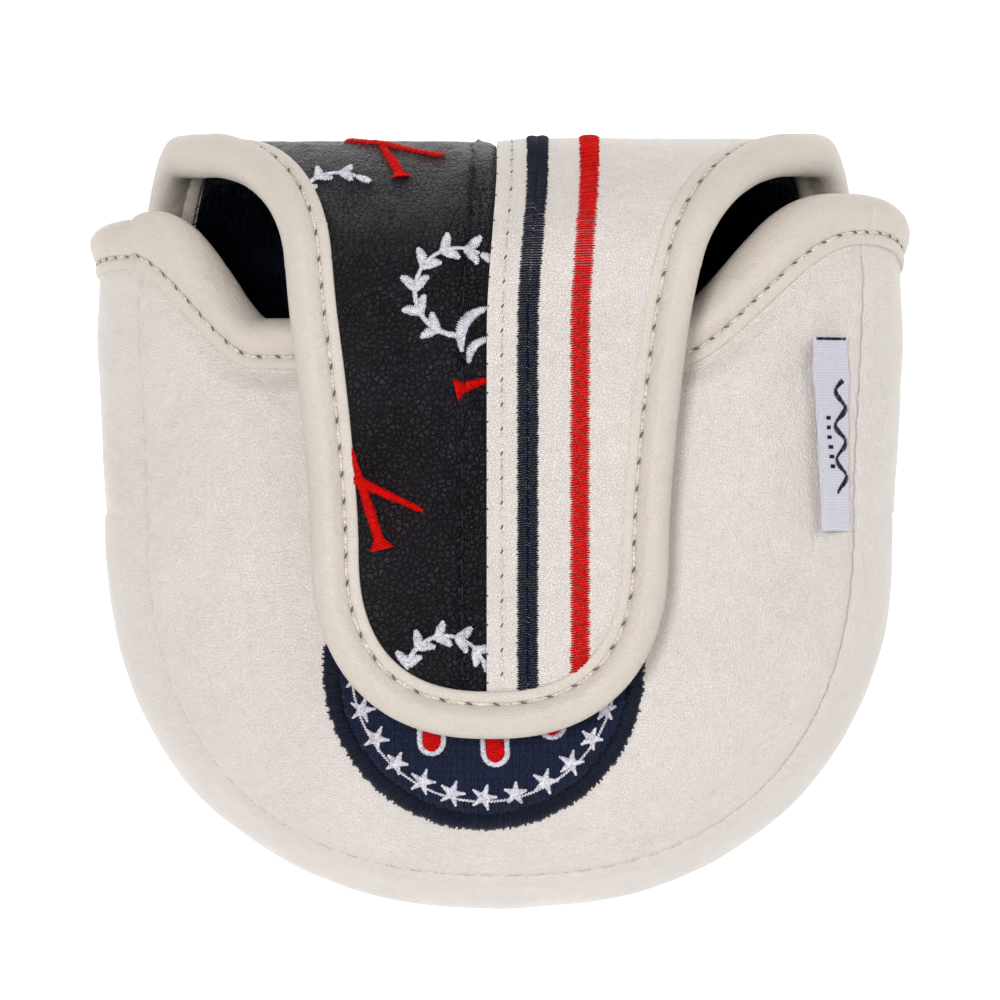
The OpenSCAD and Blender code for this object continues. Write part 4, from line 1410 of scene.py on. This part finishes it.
def on_label(u, y, h):
    """A place on the woven label: u from the seam (0) to its free edge (1)."""
    up_label = (y - LABEL_Y) / (LABEL_L / 2)
    leaning = lerp(0.0165, 0.028, u) + lerp(0.0095, 0.018, u) * up_label
    share = lerp(*LABEL_SHARES, u) - leaning
    lift = front_lift(share, y) + 0.35 + 2.2 * u**1.4 + 0.15 * np.sin(y / 5.0) * u + h
    return front_point(share, y, -lift)


def make_label():
    u = np.linspace(0, 1, 26)[None, :]
    y = np.linspace(LABEL_Y - LABEL_L / 2, LABEL_Y + LABEL_L / 2, 120)[:, None]
    cloth = solid("label_cloth", on_label(u, y, LABEL_CLOTH_T), on_label(u, y, 0.0), label_mat)
    on_shell(cloth, "woven_label", "side_label")
    rng = np.random.default_rng(95)
    wave_y = np.linspace(LABEL_Y - 9.5, LABEL_Y + 8.5, 220)
    wave_x = (0.24 + 0.17 * np.sin((wave_y - LABEL_Y) * 1.15)) * LABEL_W
    wave_w = 0.28 + 0.2 * np.sin(wave_y * 1.15 + 1) ** 2
    wave = satin(np.stack([wave_x, wave_y], -1), wave_w, 0.24, 0.04, rng, 0.02)
    top_y = LABEL_Y + LABEL_L / 2 - 0.25
    top = satin(np.linspace((0.3, top_y), (6.4, top_y), 30), 0.22, 0.24, 0.05, rng, 0.02)
    dashes_across = []
    for k in range(6):
        x, y = 3.9 - 0.12 * k, LABEL_Y + 2.6 - 1.55 * k
        dashes_across.append(satin(np.linspace((x, y), (x + 1, y), 6), 0.3, 0.2, 0.03, rng, 0.01))
    strokes = [(place / [LABEL_W, 1], height) for place, height in [wave, top, *dashes_across]]
    strokes = raised(strokes, LABEL_CLOTH_T + 0.02)
    on_shell(sew("label_marks", on_label, strokes, 0.13, navy_thread, 4), "navy_thread")


# ---------- plush pile ----------
PILE_L = 2.6


def strands(name, roots, ways, rng, length=PILE_L, radius=0.16):
    """Short tapered fibres, each leaning its own way."""
    count = len(roots)
    lean = ways + rng.normal(0, 0.45, (count, 3))
    size = length * rng.uniform(0.6, 1.2, (count, 1))
    droop = rng.normal(0, 0.3, (count, 3))
    share = np.array([0, 0.45, 0.8, 1.0])
    lines = roots[:, None] + unit(lean)[:, None] * size[:, None] * share[:, None]
    lines = lines + droop[:, None] * size[:, None] * (share**2)[:, None]
    ups = np.broadcast_to(unit(rng.normal(size=(count, 1, 3))), lines.shape)
    return tubes(name, lines, ups, radius * np.array([1, 0.9, 0.6, 0.15]), plush_mat, 3)


def make_pile():
    rng = np.random.default_rng(99)
    inside = FLAP_WALL + BRIDGE_LINING_T
    for name, first, last, count, length, place in (
        ("bridge_pile", FACING_S, PART_S - 2, 5200, PILE_L, on_root),
        ("fold_pile", PART_S + 2, FOLD_END, 3600, PILE_L, on_fold),
        ("tongue_pile", FOLD_END, TIP_START + TIP_L - BINDING_W - 2, 5200, PILE_L / 2, on_fold),
    ):
        s = rng.uniform(first, last, count)
        x = flap_mid(s) + rng.uniform(-1, 1, count) * np.maximum(flap_inset_w(s, BINDING_W + 0.6), 1)
        roots = flap_point(x, s, inside - 0.3)
        ways = unit(flap_point(x, s, inside + 1) - roots)
        place(strands(name, roots, ways, rng, length), "plush")
    count = 2900
    q = np.where(rng.random(count) < 0.5, rng.uniform(0, 0.9, count), rng.uniform(2.1, 3, count))
    g = rng.uniform(0.05, 0.95, count)
    wall_roots = wall_surface(q, g, -1, POUCH_WALL + LINING_T - 0.3)
    wall_ways = unit(wall_surface(q, g, -1, POUCH_WALL + LINING_T + 1) - wall_roots)
    share = rng.uniform(-0.97, 0.97, count)
    y = front_mouth(share, -0.5) - rng.uniform(0, 1, count) ** 1.5 * 25
    front_roots = front_point(share, y, POUCH_WALL + LINING_T + 0.2)
    y2 = rng.uniform(5, 42, count)
    back_roots = np.stack([rng.uniform(-50, 50, count), y2, np.full(count, FLAP_WALL + LINING_T - 0.3)], -1)
    roots = np.concatenate([wall_roots, front_roots, back_roots])
    ways = np.concatenate([wall_ways, np.tile([0, 0, -1.0], (count, 1)), np.tile([0, 0, 1.0], (count, 1))])
    on_shell(strands("pouch_pile", roots, ways, rng), "plush")


def finish_hidden_nodes():
    """Boards and magnets keep their CAD shapes and get their materials."""
    for node, material in (
        ("body_magnet_board", board_mat), ("flap_board", board_mat),
        ("body_magnets", magnet_mat), ("flap_magnets", magnet_mat),
    ):
        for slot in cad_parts[node].material_slots:
            slot.material = material


# ---------- stage ----------
VIEW_MIDDLE = Vector((0, 0.00296, 0.038))
VIEW_WIDTH = 0.160
LENS = 400
SENSOR = 36
FLOOR_HALF_W = 6.0
FLOOR_GAP = 0.0002
PAPER_GLOW = 0.5
ROOM_LIGHT = 0.30


def look_at(obj, target, up=Vector((0, 1, 0))):
    back = (obj.location - target).normalized()
    right = up.cross(back).normalized()
    turn = Matrix((right, back.cross(right), back)).transposed()
    obj.matrix_world = Matrix.Translation(obj.location) @ turn.to_4x4()


def add_camera():
    camera = place_in_scene("camera", bpy.data.cameras.new("camera"))
    camera.data.lens = LENS
    camera.data.sensor_width = SENSOR
    camera.data.clip_start = 0.05
    camera.data.clip_end = 20
    camera.location = VIEW_MIDDLE + Vector((0, 0, VIEW_WIDTH * LENS / SENSOR))
    look_at(camera, VIEW_MIDDLE)
    bpy.context.scene.camera = camera


def add_softbox(name, place, size, power):
    lamp = bpy.data.lights.new(name, "AREA")
    lamp.shape = "RECTANGLE"
    lamp.size, lamp.size_y = size
    lamp.energy = power
    obj = place_in_scene(name, lamp)
    obj.location = place
    look_at(obj, VIEW_MIDDLE, Vector((0, 0.8, 0.6)))


def add_stage():
    """White paper under the cover, and soft lamps around it. Places are in metres, powers in watts."""
    floor_mesh = bpy.data.meshes.new("floor")
    r = FLOOR_HALF_W
    floor_mesh.from_pydata([(-r, -r, 0), (r, -r, 0), (r, r, 0), (-r, r, 0)], [], [(0, 1, 2, 3)])
    floor = place_in_scene("floor", floor_mesh)
    floor.location.z = min(0.0, cad_low.z) - FLOOR_GAP
    paper = Shader("floor_paper", 0.9)
    paper.bsdf.inputs["Base Color"].default_value = (0.93, 0.93, 0.93, 1)
    paper.bsdf.inputs["Emission Color"].default_value = (1, 1, 1, 1)
    paper.bsdf.inputs["Emission Strength"].default_value = PAPER_GLOW
    floor_mesh.materials.append(paper.material)
    world = bpy.data.worlds.new("studio")
    world.use_nodes = True
    world.node_tree.nodes["Background"].inputs["Color"].default_value = (1, 1, 1, 1)
    world.node_tree.nodes["Background"].inputs["Strength"].default_value = ROOM_LIGHT
    bpy.context.scene.world = world
    add_softbox("key", (-0.3, 0.12, 1.4), (0.3, 0.3), 11.0)
    add_softbox("fill", (0.8, 0.4, 0.9), (0.8, 0.8), 4.2)
    add_softbox("front_fill", (-0.1, -0.95, 0.85), (0.8, 0.6), 5.0)
    bpy.context.scene.view_settings.view_transform = "Standard"


add_camera()
add_stage()
make_front()
make_gusset()
make_back()
make_flap()
make_collar()
make_flap_binding()
make_pouch_seams()
make_flap_seams()
make_stripes()
make_badge()
make_tongue_embroidery()
make_label()
make_pile()
finish_hidden_nodes()
